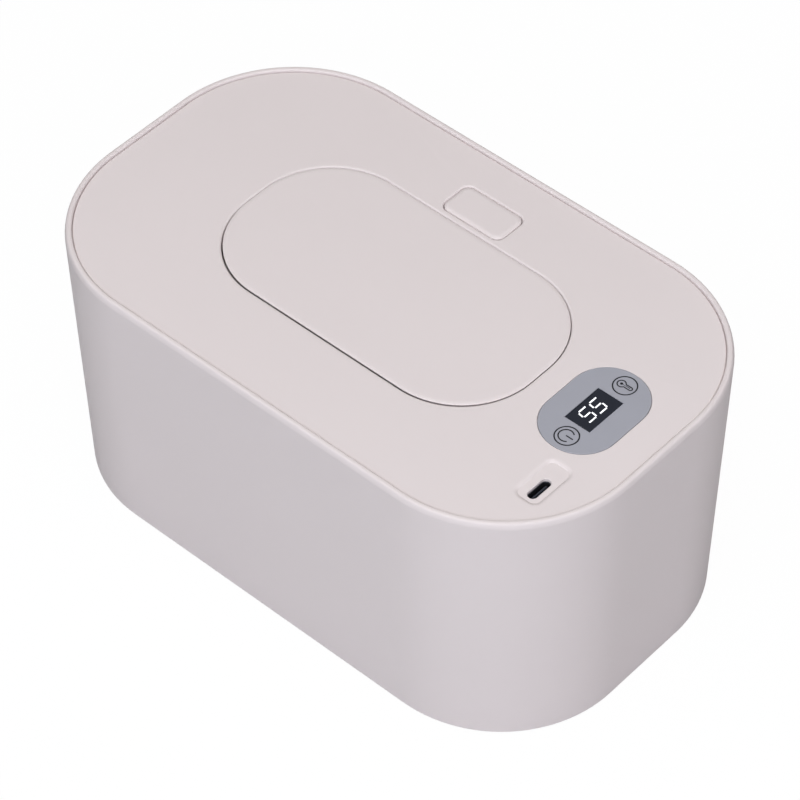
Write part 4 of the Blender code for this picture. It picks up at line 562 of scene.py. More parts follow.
def glass_finish(name, colour):
    """Smoked window: dark, smooth, with faint wipe marks."""
    finish = Finish(name, ior=1.5, coat_weight=0.6, coat_roughness=0.04)
    marks = finish.noise(3.0 * MM, 4.0, 0.7)
    finish.set("Base Color", finish.mix(marks, shade(colour, 0.85), shade(colour, 1.15)))
    finish.set("Roughness", marks * 0.1 + 0.1)
    return finish.material


def lit_finish(name, colour):
    """Lit segment of the display."""
    finish = Finish(name, roughness=0.4)
    glow = finish.noise(1.2 * MM, 1.0)
    finish.set("Base Color", finish.mix(glow, shade(colour, 0.8), shade(colour, 0.9)))
    finish.set("Emission Color", finish.mix(glow, shade(colour, 0.93), colour))
    finish.set("Emission Strength", 0.75)
    return finish.material


def soft_finish(name, colour, roughness=0.6):
    """Silicone or rubber with a dusty sheen and a fine matte skin."""
    finish = Finish(name, ior=1.41, sheen_weight=0.25, sheen_roughness=0.5)
    dust = finish.noise(6 * MM, 4.0, 0.65)
    finish.set("Base Color", finish.mix(dust, shade(colour, 0.95), shade(colour, 1.05)))
    finish.set("Roughness", dust * 0.14 + (roughness - 0.07))
    finish.bump(finish.noise(0.25 * MM, 2.0), 0.012 * MM)
    return finish.material


def metal_finish(name, colour, roughness=0.3, brushed=(1.0, 1.0, 14.0)):
    """Drawn or pressed metal with fine lines and small stains."""
    finish = Finish(name, metallic=1.0)
    scaled = finish.node("ShaderNodeVectorMath", {"operation": "MULTIPLY"}, {0: finish.place(), 1: brushed})
    lines = finish.node("ShaderNodeTexNoise", None, {"Vector": scaled, "Scale": 2500.0, "Detail": 2.0}, "Fac")
    stain = finish.noise(11 * MM, 4.0)
    finish.set("Base Color", finish.mix(stain, shade(colour, 0.9), shade(colour, 1.06)))
    finish.set("Roughness", lines * 0.14 + stain * 0.1 + (roughness - 0.12))
    finish.bump(lines, 0.004 * MM)
    return finish.material


def board_finish(name, colour):
    """Lacquered circuit board with tracks under the lacquer."""
    finish = Finish(name, roughness=0.35, coat_weight=0.3, coat_roughness=0.2)
    values = {"Vector": finish.place(), "Scale": 420.0}
    cells = finish.node("ShaderNodeTexVoronoi", {"feature": "DISTANCE_TO_EDGE"}, values, "Distance")
    track = cells < 0.09
    finish.set("Base Color", finish.mix(track, colour, shade(colour, 1.7)))
    finish.set("Roughness", finish.noise(3 * MM) * 0.1 + 0.3)
    finish.bump(track * 1.0, 0.03 * MM)
    return finish.material


def foam_finish(name, colour):
    """Closed-cell foam."""
    finish = Finish(name, roughness=0.9)
    cells = finish.node("ShaderNodeTexVoronoi", None, {"Vector": finish.place(), "Scale": 1600.0}, "Distance")
    finish.set("Base Color", finish.mix(cells, shade(colour, 0.86), colour))
    finish.set("Roughness", cells * 0.1 + 0.85)
    finish.bump(cells, 0.15 * MM)
    return finish.material


def foil_finish(name, colour):
    """Heating film: amber carrier with a winding metal track."""
    finish = Finish(name, ior=1.5, coat_weight=0.3)
    values = {"Vector": finish.place(), "Scale": 60.0, "Distortion": 0.4}
    waves = finish.node("ShaderNodeTexWave", {"bands_direction": "X"}, values, "Fac")
    track = waves > 0.55
    finish.set("Base Color", finish.mix(track, colour, (0.55, 0.5, 0.45)))
    finish.set("Metallic", track * 0.9)
    finish.set("Roughness", finish.noise(5 * MM) * 0.15 + 0.25)
    finish.bump(track * 1.0, 0.02 * MM)
    return finish.material


class Library:
    """The finishes, made once when first asked for."""

    made = {}

    @classmethod
    def get(cls, name):
        """The finish with this name."""
        if name not in cls.made:
            cls.made[name] = cls.make(name, bpy.context.scene.warmer_colours)
        return cls.made[name]

    @staticmethod
    def make(name, colours):
        """Make the finish with its maker, its colour and its other values."""
        makers = {
            "shell_plastic": (plastic_finish, colours.shell),
            "inner_plastic": (plastic_finish, colours.inner, 0.38, 0.006),
            "silicone": (soft_finish, colours.silicone, 0.5),
            "foot_rubber": (soft_finish, colours.rubber, 0.78),
            "panel_film": (film_finish, colours.film),
            "print_ink": (film_finish, colours.print_ink),
            "lens": (glass_finish, colours.lens),
            "digits": (lit_finish, colours.digits),
            "module": (plastic_finish, (0.012, 0.012, 0.013), 0.5),
            "aluminium": (metal_finish, (0.78, 0.78, 0.79), 0.36, (1.0, 12.0, 1.0)),
            "heating_foil": (foil_finish, (0.5, 0.2, 0.04)),
            "foam": (foam_finish, (0.82, 0.8, 0.76)),
            "board": (board_finish, (0.01, 0.13, 0.05)),
            "steel": (metal_finish, (0.62, 0.62, 0.63), 0.3),
            "plated": (metal_finish, (0.72, 0.72, 0.73), 0.24),
            # Near-black inlet metal: painted shade for the shadow inside the inlet's mouth, darker than the
            # real plated shell.
            "inlet_metal": (metal_finish, (0.1, 0.1, 0.115), 0.5),
            "contact_plastic": (plastic_finish, (0.035, 0.038, 0.05), 0.6),
            "sensor": (plastic_finish, (0.012, 0.012, 0.012), 0.45),
            "fuse": (plastic_finish, (0.75, 0.72, 0.64), 0.35),
            "lead_red": (soft_finish, (0.45, 0.012, 0.012), 0.45),
            "lead_black": (soft_finish, (0.012, 0.012, 0.012), 0.45),
        }
        maker, *values = makers[name]
        return maker(name, *values)


# Pieces


class WarmerStep:
    """What the building steps share."""

    bl_options = {"REGISTER", "UNDO"}

    def execute(self, context):
        """Build the step's pieces from the sizes of the scene."""
        self.build(context.scene.warmer_sizes)
        return {"FINISHED"}


class WARMER_OT_shell(WarmerStep, bpy.types.Operator):
    """Build the outer sleeve with its rounded rim and drafted wall"""

    bl_idname = "warmer.shell"
    bl_label = "Outer shell"

    def build(self, sizes):
        low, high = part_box("outer_shell")
        foot, rim = low.z - sizes.foot_drop, high.z + sizes.rim_rise
        wall = sizes.shell_wall
        foot_round, inner_round = 0.5 * MM, sizes.rim_inner_round
        ledge, ledge_inset, ledge_depth = 91.7 * MM, 4.7 * MM, 1.5 * MM
        rib_top, rib_bottom, rib_width = 5.6 * MM, 4.1 * MM, 1.5 * MM

        def draft(height):
            """How far the wall has drawn in at the height."""
            return sizes.body_draft * (rim - height) / (rim - foot)

        profile = arc(draft(foot) + foot_round, foot + foot_round, foot_round, -90, 0, 4)
        profile += [(draft(foot + rise * MM), foot + rise * MM) for rise in (20, 45, 70)]
        edge = double_round(rim, sizes.rim_shoulder_round, sizes.rim_outer_round, radians(27))
        profile += [(inset + draft(height), height) for inset, height in edge]
        profile += arc(wall - inner_round, rim - inner_round, inner_round, 90, 180, 5)
        profile += [(wall, ledge), (ledge_inset, ledge), (ledge_inset, ledge - ledge_depth)]
        inside = [(0.0, ledge - 2 * ledge_depth), (0.0, rib_top), (rib_width, rib_top)]
        inside += [(rib_width, rib_bottom), (0.0, rib_bottom), (0.0, foot)]
        profile += [(wall + draft(height) + out, height) for out, height in inside]
        shell = loft("body_shell", [(body_outline(sizes, inset), height) for inset, height in profile], True)
        complete(shell, "shell_plastic", "tub", "shell_plastic", "outer_shell")


class WARMER_OT_cover(WarmerStep, bpy.types.Operator):
    """Build the lift-off top cover with its lid well, button opening, panel pocket and inlet recess"""

    bl_idname = "warmer.cover"
    bl_label = "Top cover"

    def build(self, sizes):
        low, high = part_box("top_cover")
        top, under = high.z, high.z - 2.2 * MM
        seam = sizes.shell_wall + sizes.rim_seam
        rib, rib_top = sizes.shell_wall + 0.03 * MM, top - sizes.rim_seam_depth
        skirt, skirt_wall = 7.4 * MM, 1.6 * MM
        well_top, well_floor, well_wall, well_round = top - 9.0 * MM, 1.8 * MM, 1.5 * MM, 1.2 * MM
        edge_round, opening_round = sizes.cover_edge_round, sizes.opening_round
        mouth = rounded(MOUTH_LENGTH, MOUTH_WIDTH, MOUTH_CORNER)
        sections = [(mouth, well_top - well_floor), (mouth, well_top)]
        quarter = turns(0, pi / 2, 6)
        well = [(-well_round * (1 - sin(a)), well_top + well_round * (1 - cos(a))) for a in quarter]
        well += [(opening_round * (1 - cos(a)), top - opening_round * (1 - sin(a))) for a in quarter]
        sections += [(opening_outline(sizes, outset), height) for outset, height in well]
        outer = arc(seam + edge_round, top - edge_round, edge_round, 0, 90)[::-1]
        outer += [(seam, rib_top), (rib, rib_top - sizes.rim_seam), (rib, under)]
        outer += [(skirt, under), (skirt, low.z), (skirt + skirt_wall, low.z), (skirt + skirt_wall, under)]
        sections += [(body_outline(sizes, inset), height) for inset, height in outer]
        sections += [(opening_outline(sizes, well_wall), height) for height in (under, well_top - well_floor)]
        cover = loft("cover_shell", sections, True)
        self.add_bosses(cover, under)
        self.cut_button_opening(cover, sizes, top, under)
        self.cut_panel_pocket(cover, sizes, top, under)
        self.cut_inlet(cover, sizes, top, under)
        self.cut_hinge_pockets(cover, sizes, top)
        complete(cover, "shell_plastic", "cover", "shell_plastic", "top_cover")

    def add_bosses(self, cover, under):
        """The screw bosses below the cover, each over its screw, with its bore."""
        kinds = (
            ("cover_screw", 8, 2.6 * MM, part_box("inner_cover")[0].z + 1.9 * MM),
            ("board_screw", 2, 2.2 * MM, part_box("control_board")[1].z + 0.3 * MM),
            ("latch_screw", 2, 2.6 * MM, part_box("latch_bracket")[1].z + 0.3 * MM),
        )
        bore_radius, bore_depth, root = 1.3 * MM, 5.6 * MM, 1.1 * MM
        for node, count, radius, bottom in kinds:
            for number in range(1, count + 1):
                middle, _ = centre_of(f"{node}_{number}")
                carve(cover, turned("boss", [(radius, bottom), (radius, under + root)], middle, 32), "UNION")
                bore = [(bore_radius, bottom - OVERRUN), (bore_radius, min(bottom + bore_depth, under))]
                carve(cover, turned("bore", bore, middle, 24))

    def flared(self, name, outline, bottom, top, radius, steps=6):
        """A cutter whose upper edge leaves a round of the radius on what it cuts."""
        sections = [(outline(0.0), bottom)]
        for turn in turns(0, radians(88), steps):
            sections.append((outline(radius * (1 - cos(turn))), top - radius * (1 - sin(turn))))
        sections.append((outline(radius + FINE), top + FINE))
        return loft(name, sections)

    def cut_button_opening(self, cover, sizes, top, under):
        """The opening round the button, and the slot in the well's wall that the latch bar comes through."""
        low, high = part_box("latch_button")
        middle = button_middle(sizes)
        grown = sizes.button_growth + sizes.button_seam

        def outline(outset):
            corner = sizes.button_corner - 0.3 * MM
            return plan(low, high, corner, -(grown + outset), middle, SMALL_STEPS)

        carve(cover, self.flared("button_cutter", outline, under - OVERRUN, top, sizes.button_opening_round))
        half, slot_bottom, slot_top, depth = 6.5 * MM, 91.2 * MM, 93.8 * MM, 1.5 * MM
        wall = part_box("lid_outer")[1].y + sizes.lid_growth + sizes.lid_seam + sizes.lid_shift_y
        slot_low = (-half, wall - OVERRUN, slot_bottom)
        carve(cover, block("latch_slot", slot_low, (half, wall + depth + OVERRUN, slot_top)))

    def cut_panel_pocket(self, cover, sizes, top, under):
        """The shallow pocket for the panel film, and the opening for the display window."""
        low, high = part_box("panel_film")
        middle = panel_middle(sizes)
        gap, edge_round, depth = 0.15 * MM, 0.12 * MM, 0.8 * MM

        def outline(outset):
            return plan(low, high, sizes.panel_corner, -(gap + outset), middle)

        carve(cover, self.flared("panel_cutter", outline, top - depth, top, edge_round, 3))
        window_low, window_high = window_box(sizes)
        cutter_low = (window_low.x - gap, window_low.y - gap, under - OVERRUN)
        carve(cover, block("window_cutter", cutter_low, (window_high.x + gap, window_high.y + gap, top)))

    def cut_inlet(self, cover, sizes, top, under):
        """The dished recess of the power inlet, and the slot round its metal mouth."""
        low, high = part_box("usb_socket")
        x, y = middle_of(low, high)
        middle = (x - 0.4 * MM, y + 2.4 * MM)
        outermost, least_corner = 0.6 * MM, 1.0 * MM
        lowest = radians(50)
        reach, radius = sizes.recess_wall, sizes.recess_depth / (1 - sin(lowest))

        def outline(outset):
            corner = max(sizes.recess_corner + outset, least_corner)
            length, width = sizes.recess_length + 2 * outset, sizes.recess_width + 2 * outset
            return rounded(length, width, corner, middle, SMALL_STEPS)

        sections = []
        for turn in turns(lowest, pi / 2, 10):
            outset = reach * (cos(lowest) - cos(turn)) / cos(lowest) - reach + outermost
            sections.append((outline(outset), top - radius * (1 - sin(turn))))
        sections.append((outline(outermost + FINE), top + FINE))
        carve(cover, loft("recess_cutter", sections))
        half = (high.x - low.x) / 2

        def slot_outline(outset):
            return plan(low, high, half, -outset, (x, y), SMALL_STEPS)

        floor, slot_round = top - sizes.recess_depth, 0.25 * MM
        sections = [(slot_outline(0.0), under - OVERRUN)]
        for turn in turns(0, radians(85), 6):
            outset = slot_round * (1 - cos(turn))
            sections.append((slot_outline(outset), floor - slot_round * (1 - sin(turn))))
        sections.append((slot_outline(slot_round), floor + FINE))
        carve(cover, loft("slot_cutter", sections))

    def cut_hinge_pockets(self, cover, sizes, top):
        """The two pockets that the lid's hinge arms swing in, with the bores for the pins."""
        well_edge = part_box("lid_outer")[0].y - sizes.lid_hinge_seam
        near, far = 21.3 * MM, 30.3 * MM
        reach, wall, pin_radius = 6.4 * MM, 1.2 * MM, 0.9 * MM
        shell_gap, shell_roof, room_roof = 0.7 * MM, 1.1 * MM, 1.0 * MM
        axis, _ = centre_of("hinge_pin_left")
        for side in (-1, 1):
            low_x, high_x = sorted((side * near, side * far))
            low = (low_x - wall, axis.y - reach - wall, axis.z - reach - wall)
            high = (high_x + wall, well_edge - shell_gap, top - shell_roof)
            carve(cover, block("pocket_shell", low, high), "UNION")
            low = (low_x, axis.y - reach, axis.z - reach)
            carve(cover, block("pocket_room", low, (high_x, well_edge + OVERRUN, top - room_roof)))
            bore = circle((axis.y, axis.z), pin_radius, 24)
            carve(cover, lengthwise("pin_bore", bore, low_x - wall - OVERRUN, high_x + wall + OVERRUN))


class WARMER_OT_lid(WarmerStep, bpy.types.Operator):
    """Build the lid's upper plate with its undercut edge"""

    bl_idname = "warmer.lid"
    bl_label = "Lid"

    def build(self, sizes):
        low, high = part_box("lid_outer")
        top, under = high.z, high.z - sizes.lid_thickness
        edge, grown = sizes.lid_edge_round, sizes.lid_growth
        rib_outside, rib_inside = 3.3 * MM, 4.5 * MM
        profile = [(rib_inside, under), (rib_inside, low.z), (rib_outside, low.z), (rib_outside, under)]
        profile += [(0.75 * MM, under), (0.45 * MM, under + 0.25 * MM)]
        undercut = [(edge * (1 - cos(a)), top - edge + edge * sin(a)) for a in (-0.3, -0.15)]
        upper = undercut + double_round(top, edge, sizes.lid_soft_round, radians(72))
        profile += [(inset - grown, height) for inset, height in upper]
        lid = loft("lid_top", [(lid_outline(sizes, inset), height) for inset, height in profile])
        complete(lid, "shell_plastic", "lid", "shell_plastic", "lid_outer")


class WARMER_OT_button(WarmerStep, bpy.types.Operator):
    """Build the push button with its soft upper edge"""

    bl_idname = "warmer.button"
    bl_label = "Push button"

    def build(self, sizes):
        low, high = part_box("latch_button")
        middle = button_middle(sizes)
        top, under = high.z, high.z - 3.9 * MM
        wall, roof = 1.2 * MM, top - 1.9 * MM
        profile = [(wall, roof), (wall, under), (0.0, under)]
        profile += double_round(top, sizes.button_edge_round, sizes.button_soft_round, radians(60))
        sections = []
        for inset, height in profile:
            outline = plan(low, high, sizes.button_corner, inset - sizes.button_growth, middle, SMALL_STEPS)
            sections.append((outline, height))
        button = loft("push_button", sections)
        self.add_legs(button, middle[1], low, high)
        complete(button, "shell_plastic", "button", "shell_plastic", "latch_button")

    def add_legs(self, button, middle_y, low, high):
        """The notch over the latch bar and the two legs whose slanted slots drive the bar back."""
        bar_low, bar_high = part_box("latch_bar")
        near, thickness, gap = 7.6 * MM, 1.5 * MM, 0.3 * MM
        notch, notch_half_width = near - gap, 20 * MM
        notch_low = (-notch, middle_y - notch_half_width, low.z - OVERRUN)
        notch_high = (notch, middle_y + notch_half_width, bar_high.z + 2.1 * MM)
        carve(button, block("notch", notch_low, notch_high))
        pin_y, pin_z = 38.2 * MM, (bar_low.z + bar_high.z) / 2
        slot_radius, travel = 1.2 * MM, 1.8 * MM
        slot = []
        for start, move in ((3 * pi / 4, 0.0), (-pi / 4, travel)):
            for a in turns(start, start + pi, 12):
                slot.append((pin_y + move + slot_radius * cos(a), pin_z + move + slot_radius * sin(a)))
        leg_near, leg_far, leg_top = pin_y - 2.244 * MM, pin_y + 4.556 * MM, high.z - 0.95 * MM
        for side in (-1, 1):
            low_x, high_x = sorted((side * near, side * (near + thickness)))
            carve(button, block("leg", (low_x, leg_near, low.z), (high_x, leg_far, leg_top)), "UNION")
            carve(button, lengthwise("leg_slot", slot, low_x - OVERRUN, high_x + OVERRUN))


class WARMER_OT_panel(WarmerStep, bpy.types.Operator):
    """Build the grey panel film with its two printed touch signs"""

    bl_idname = "warmer.panel"
    bl_label = "Touch panel"

    def build(self, sizes):
        low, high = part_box("panel_film")
        middle = panel_middle(sizes)
        edge_round, gap = 0.12 * MM, 0.05 * MM
        sections = []
        for inset, height in [(0.0, low.z)] + arc(edge_round, high.z - edge_round, edge_round, 0, 90, 4):
            sections.append((plan(low, high, sizes.panel_corner, inset, middle), height))
        film = loft("touch_film", sections)
        lens_low, lens_high = window_box(sizes)
        cutter_low = (lens_low.x - gap, lens_low.y - gap, low.z - OVERRUN)
        cutter_high = (lens_high.x + gap, lens_high.y + gap, high.z + OVERRUN)
        carve(film, block("film_cutter", cutter_low, cutter_high))
        complete(film, "panel_film", "cover", "panel_film", "panel_film")
        builder = bmesh.new()
        for place, sign in (((0.42, 13.4), self.thermometer), ((0.48, -13.2), self.power)):
            origin = (middle[0] + place[0] * MM, middle[1] + place[1] * MM)
            stroke(builder, origin, circle((0.0, 0.0), SIGN_RADIUS, 64), SIGN_LINE, high.z, True)
            sign(builder, origin, high.z)
        signs = make_item("touch_signs", builder)
        complete(signs, "print_ink", "cover", "panel_film")

    def thermometer(self, builder, origin, height):
        """A thermometer that lies along X, with a dot in its bulb, its liquid and four marks."""
        bulb_x, bulb_radius, stem_half, stem_end = -1.3, 1.35, 0.62, 2.0
        start = radians(27)
        bulb = turns(start, 2 * pi - start, 26)
        outline = [(bulb_x + bulb_radius * cos(a), bulb_radius * sin(a)) for a in bulb]
        outline += [(stem_end + stem_half * cos(a), stem_half * sin(a)) for a in turns(-pi / 2, pi / 2, 10)]
        stroke(builder, origin, outline, 0.4, height, True)
        stroke(builder, origin, circle((bulb_x, 0.0), 0.25, 14), 0.48, height, True)
        stroke(builder, origin, [(bulb_x + 0.3, 0.0), (1.9, 0.0)], THIN_LINE, height)
        for x in (0.25, 0.7, 1.15, 1.6):
            stroke(builder, origin, [(x, 0.08), (x, stem_half - 0.04)], THIN_LINE, height)

    def power(self, builder, origin, height):
        """An open ring with a bar through its gap, which points along X."""
        ring_x, ring_radius, opening = -0.25, 2.35, radians(46)
        angles = turns(opening, 2 * pi - opening, 30)
        ring = [(ring_x + ring_radius * cos(a), ring_radius * sin(a)) for a in angles]
        stroke(builder, origin, ring, POWER_LINE, height)
        stroke(builder, origin, [(-0.3, 0.0), (2.3, 0.0)], POWER_LINE, height)


def stroke(builder, origin, path, width, height, closed=False):
    """A flat printed line along a path in millimetres, sunk a little into a surface at the height."""
    count = len(path)
    points = [Vector((x, y)) for x, y in path]
    levels = (height - INK_SUNK, height + INK_RAISED)
    loops = []
    for index, point in enumerate(points):
        if closed:
            before, after = points[index - 1], points[(index + 1) % count]
        else:
            before, after = points[max(index - 1, 0)], points[min(index + 1, count - 1)]
        along = (after - before).normalized()
        across = Vector((-along.y, along.x)) * (width / 2)
        sides = []
        for side in (point + across, point - across):
            x, y = origin[0] + side.x * MM, origin[1] + side.y * MM
            sides += [builder.verts.new((x, y, level)) for level in levels]
        loops.append(sides)
    pairs = list(zip(loops, loops[1:]))
    if closed:
        pairs.append((loops[-1], loops[0]))
    for a, b in pairs:
        for first, second in ((0, 1), (1, 3), (3, 2), (2, 0)):
            builder.faces.new((a[first], a[second], b[second], b[first]))
    if not closed:
        builder.faces.new([loops[0][i] for i in (0, 2, 3, 1)])
        builder.faces.new([loops[-1][i] for i in (0, 1, 3, 2)])


class WARMER_OT_display(WarmerStep, bpy.types.Operator):
    """Build the smoked window and the lit digits in it"""

    bl_idname = "warmer.display"
    bl_label = "Display"

    def build(self, sizes):
        low, high = window_box(sizes)
        edge_round, corner = 0.1 * MM, 0.35 * MM
        sections = []
        for inset, height in [(0.0, low.z)] + arc(edge_round, high.z - edge_round, edge_round, 0, 90, 3):
            sections.append((plan(low, high, corner + inset, inset, steps=5), height))
        window = loft("display_window", sections)
        complete(window, "lens", "cover", "lens", "display_lens")
        builder = bmesh.new()
        for left in (4.3, -0.57):
            self.digit_five(builder, middle_of(low, high), left, high.z)
        digits = make_item("display_digits", builder)
        complete(digits, "digits", "cover", "lens")

    def digit_five(self, builder, middle, left, height):
        """The five lit segments of a figure; up is +X and the reading direction is -Y."""
        foot, wide, tall, slant = -2.75, 3.55, 4.95, tan(radians(8))
        half = tall / 2
        bars = [
            ((0.45, tall), (wide - 0.1, tall)),
            ((0.15, half + 0.4), (0.15, tall - 0.15)),
            ((0.5, half), (wide - 0.5, half)),
            ((wide - 0.15, 0.35), (wide - 0.15, half - 0.35)),
            ((0.1, 0.0), (wide - 0.5, 0.0)),
        ]
        for bar in bars:
            path = [(foot + rise, left - across - rise * slant) for across, rise in bar]
            stroke(builder, middle, path, SEGMENT_LINE, height)


class WARMER_OT_inlet(WarmerStep, bpy.types.Operator):
    """Build the power inlet's metal mouth, darkened with painted shade, and its contact tongue"""

    bl_idname = "warmer.inlet"
    bl_label = "Power inlet"

    def build(self, sizes):
        low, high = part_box("usb_socket")
        wall, lip, lip_round, room_depth = 0.3 * MM, high.z - 0.15 * MM, 0.08 * MM, 1.0 * MM
        profile = [(0.0, low.z), (0.0, lip - lip_round), (lip_round, lip), (wall - 0.1 * MM, lip)]
        profile += [(wall, lip - 0.12 * MM), (wall, low.z + room_depth)]
        half = (high.x - low.x) / 2
        sections = [(plan(low, high, half, inset, steps=SMALL_STEPS), height) for inset, height in profile]
        mouth = loft("inlet_mouth", sections)
        # The mouth takes the near-black metal: painted shade for the shadow inside the slot.
        complete(mouth, "inlet_metal", "cover", "plated", "usb_socket")
        low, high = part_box("usb_tongue")
        corner, bevel, bevel_height = 0.15 * MM, 0.18 * MM, 0.25 * MM
        profile = [(0.0, low.z), (0.0, high.z - bevel_height), (bevel, high.z)]
        sections = [(plan(low, high, corner + inset, inset, steps=4), height) for inset, height in profile]
        tongue = loft("inlet_tongue", sections)
        complete(tongue, "contact_plastic", "cover", "contact_plastic", "usb_tongue")


class WARMER_OT_dispenser(WarmerStep, bpy.types.Operator):
    """Build the soft mouth that the wipes are pulled through"""

    bl_idname = "warmer.dispenser"
    bl_label = "Wipe mouth"

    def build(self, sizes):
        low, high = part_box("dispensing_insert")
        flange, flange_depth, flange_round = 3.0 * MM, 1.2 * MM, 0.5 * MM
        neck, skin = -0.3 * MM, high.z - 1.3 * MM

        def mouth(outset):
            """The insert's outline, moved outwards from the cover's opening by the outset."""
            return plan(low, high, MOUTH_CORNER + flange, flange - outset)

        profile = [(-2.6 * MM, skin - 1.2 * MM), (-1.9 * MM, skin - 1.9 * MM)]
        barb = [(-1.8, 0.4), (-1.4, 0.0), (-0.3, 0.0), (0.2, 0.2)]
        barb += [(1.15, 1.6), (1.2, 1.85), (1.0, 2.0), (-0.3, 2.0)]
        profile += [(outset * MM, low.z + height * MM) for outset, height in barb]
        profile += [(neck, high.z - flange_depth), (flange + neck, high.z - flange_depth)]
        outset, height = flange - flange_round, high.z - flange_round
        for a in turns(0, pi / 2, 6):
            profile.append((outset + flange_round * cos(a), height + flange_round * sin(a)))
        profile += [(0.4 * MM, high.z), (-0.6 * MM, high.z - 0.15 * MM), (-2.0 * MM, skin + 0.25 * MM)]
        profile += [(-3.2 * MM, skin)]
        insert = loft("wipe_mouth", [(mouth(outset), height) for outset, height in profile])
        slot_length, slot_width, slot_corner = 46 * MM, 12 * MM, 6 * MM
        bead_round, bead_outset, bead_height = 0.75 * MM, 1.0 * MM, skin - 0.15 * MM
        bead = []
        for turn in turns(0, 2 * pi, 14)[:-1]:
            outset = bead_outset + bead_round * cos(turn)
            length, width = slot_length + 2 * outset, slot_width + 2 * outset
            outline = rounded(length, width, slot_corner + outset, steps=16)
            bead.append((outline, bead_height + bead_round * sin(turn)))
        carve(insert, loft("slot_bead", bead, True), "UNION")
        cutters = [rounded(slot_length, slot_width, slot_corner, steps=16)]
        cutters += [rounded(0.8 * MM, 18 * MM, 0.4 * MM, (x * MM, 0.0), 6) for x in (-17, 0, 17)]
        for outline in cutters:
            carve(insert, loft("slot_cutter", [(outline, skin - 3 * MM), (outline, high.z + OVERRUN)]))
        complete(insert, "silicone", "cover", "silicone", "dispensing_insert", sharp=45)


class WARMER_OT_seals(WarmerStep, bpy.types.Operator):
    """Build the seals of the cover and of the lid"""

    bl_idname = "warmer.seals"
    bl_label = "Seals"

    def build(self, sizes):
        low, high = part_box("cover_gasket")
        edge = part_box("outer_shell")[1].x - high.x
        profile = self.section(edge, 2.0 * MM, low.z, high.z)
        seal = loft("cover_seal", [(body_outline(sizes, inset), height) for inset, height in profile], True)
        complete(seal, "silicone", "cover", "silicone", "cover_gasket", sharp=50)
        low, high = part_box("lid_gasket")
        profile = self.section(0.0, 2.2 * MM, low.z, high.z)
        corner = 22 * MM
        seal = loft("lid_seal", [(plan(low, high, corner, inset), height) for inset, height in profile], True)
        complete(seal, "silicone", "lid", "silicone", "lid_gasket", sharp=50)

    def section(self, inset, width, bottom, top):
        """A seal's section: flat on top, with two pressing ribs below."""
        ribs = []
        for share in (0.22, 0.78):
            middle = inset + width * share
            rib = width * 0.2
            ribs += [(middle - rib * cos(a), bottom + rib * (1 - sin(a))) for a in turns(0, pi, 8)]
        corner = 0.25 * MM
        upper = arc(inset + width - corner, top - corner, corner, 180, 90, 4)
        upper += arc(inset + corner, top - corner, corner, 90, 0, 4)
        return ribs + upper


class WARMER_OT_feet(WarmerStep, bpy.types.Operator):
    """Build the four rubber feet with grip rings in their soles"""

    bl_idname = "warmer.feet"
    bl_label = "Feet"

    def build(self, sizes):
        for number in (1, 2, 3, 4):
            node = f"foot_{number}"
            middle, span = centre_of(node)
            radius, top = span.x / 2, span.z
            groove, sole_round, bevel = 0.25 * MM, 0.4 * MM, 0.15 * MM
            profile = [(0.3 * MM, groove), (0.9 * MM, groove)]
            for ring in (1.5 * MM, 2.9 * MM, 4.3 * MM):
                profile += [(ring - 0.3 * MM, 0.0), (ring + 0.5 * MM, 0.0)]
                profile += [(ring + 0.6 * MM, groove), (ring + 0.85 * MM, groove)]
            profile += [(5.25 * MM, 0.0)]
            sole = arc(sole_round, sole_round, sole_round, -90, 0, 5)
            profile += [(radius - inset, height) for inset, height in sole]
            profile += [(radius, top - bevel), (radius - bevel, top)]
            foot = turned(f"grip_foot_{number}", profile, middle)
            complete(foot, "foot_rubber", body_of(node), "foot_rubber", node)


class WARMER_OT_springs(WarmerStep, bpy.types.Operator):
    """Wind the springs under the lift plate, the button, the touch signs and on the hinge pins"""

    bl_idname = "warmer.springs"
    bl_label = "Springs"

    def build(self, sizes):
        for number in (1, 2, 3, 4):
            spring, base = self.upright(f"lift_spring_{number}", 1.0 * MM, 5, "steel")
            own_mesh(spring)
        spring, base = self.upright("button_spring", 0.5 * MM, 5, "steel")
        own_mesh(spring)
        self.upright("touch_spring_power", 0.5 * MM, 4, "plated")
        self.upright("touch_spring_temperature", 0.5 * MM, 4, "plated")
        for side, word in ((-1, "left"), (1, "right")):
            self.torsion(f"hinge_spring_{word}", side)

    def upright(self, node, thickness, coils, slot):
        """An upright spring in the place of a packed one, and the height of its foot."""
        low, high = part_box(node)
        radius = (high.x - low.x - thickness) / 2
        path = coil(middle_of(low, high), low.z, high.z - low.z, radius, thickness, coils)
        spring = wire(f"wound_{node}", path, thickness / 2)
        complete(spring, slot, body_of(node), slot, node, sharp=50)
        return spring, low.z

    def torsion(self, node, side):
        """A hinge spring round its pin, with two legs that lie across it."""
        low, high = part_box(node)
        thickness, pitch, coils, leg, radius = 0.4 * MM, 0.86 * MM, 3, 3.6 * MM, 1.1 * MM
        start = min(abs(low.x), abs(high.x)) + thickness / 2
        axis, _ = centre_of("hinge_pin_left")
        over = axis.z + radius
        path = [(side * start, axis.y - leg, over), (side * start, axis.y - leg / 2, over)]
        steps = 30
        for step in range(coils * steps + 1):
            angle = pi / 2 - 2 * pi * step / steps
            x = side * (start + pitch * step / steps)
            path.append((x, axis.y + radius * cos(angle), axis.z + radius * sin(angle)))
        end = side * (start + pitch * coils)
        path += [(end, axis.y + leg / 2, over), (end, axis.y + leg, over)]
        spring = wire(f"wound_{node}", path, thickness / 2)
        complete(spring, "steel", body_of(node), "steel", node, sharp=50)


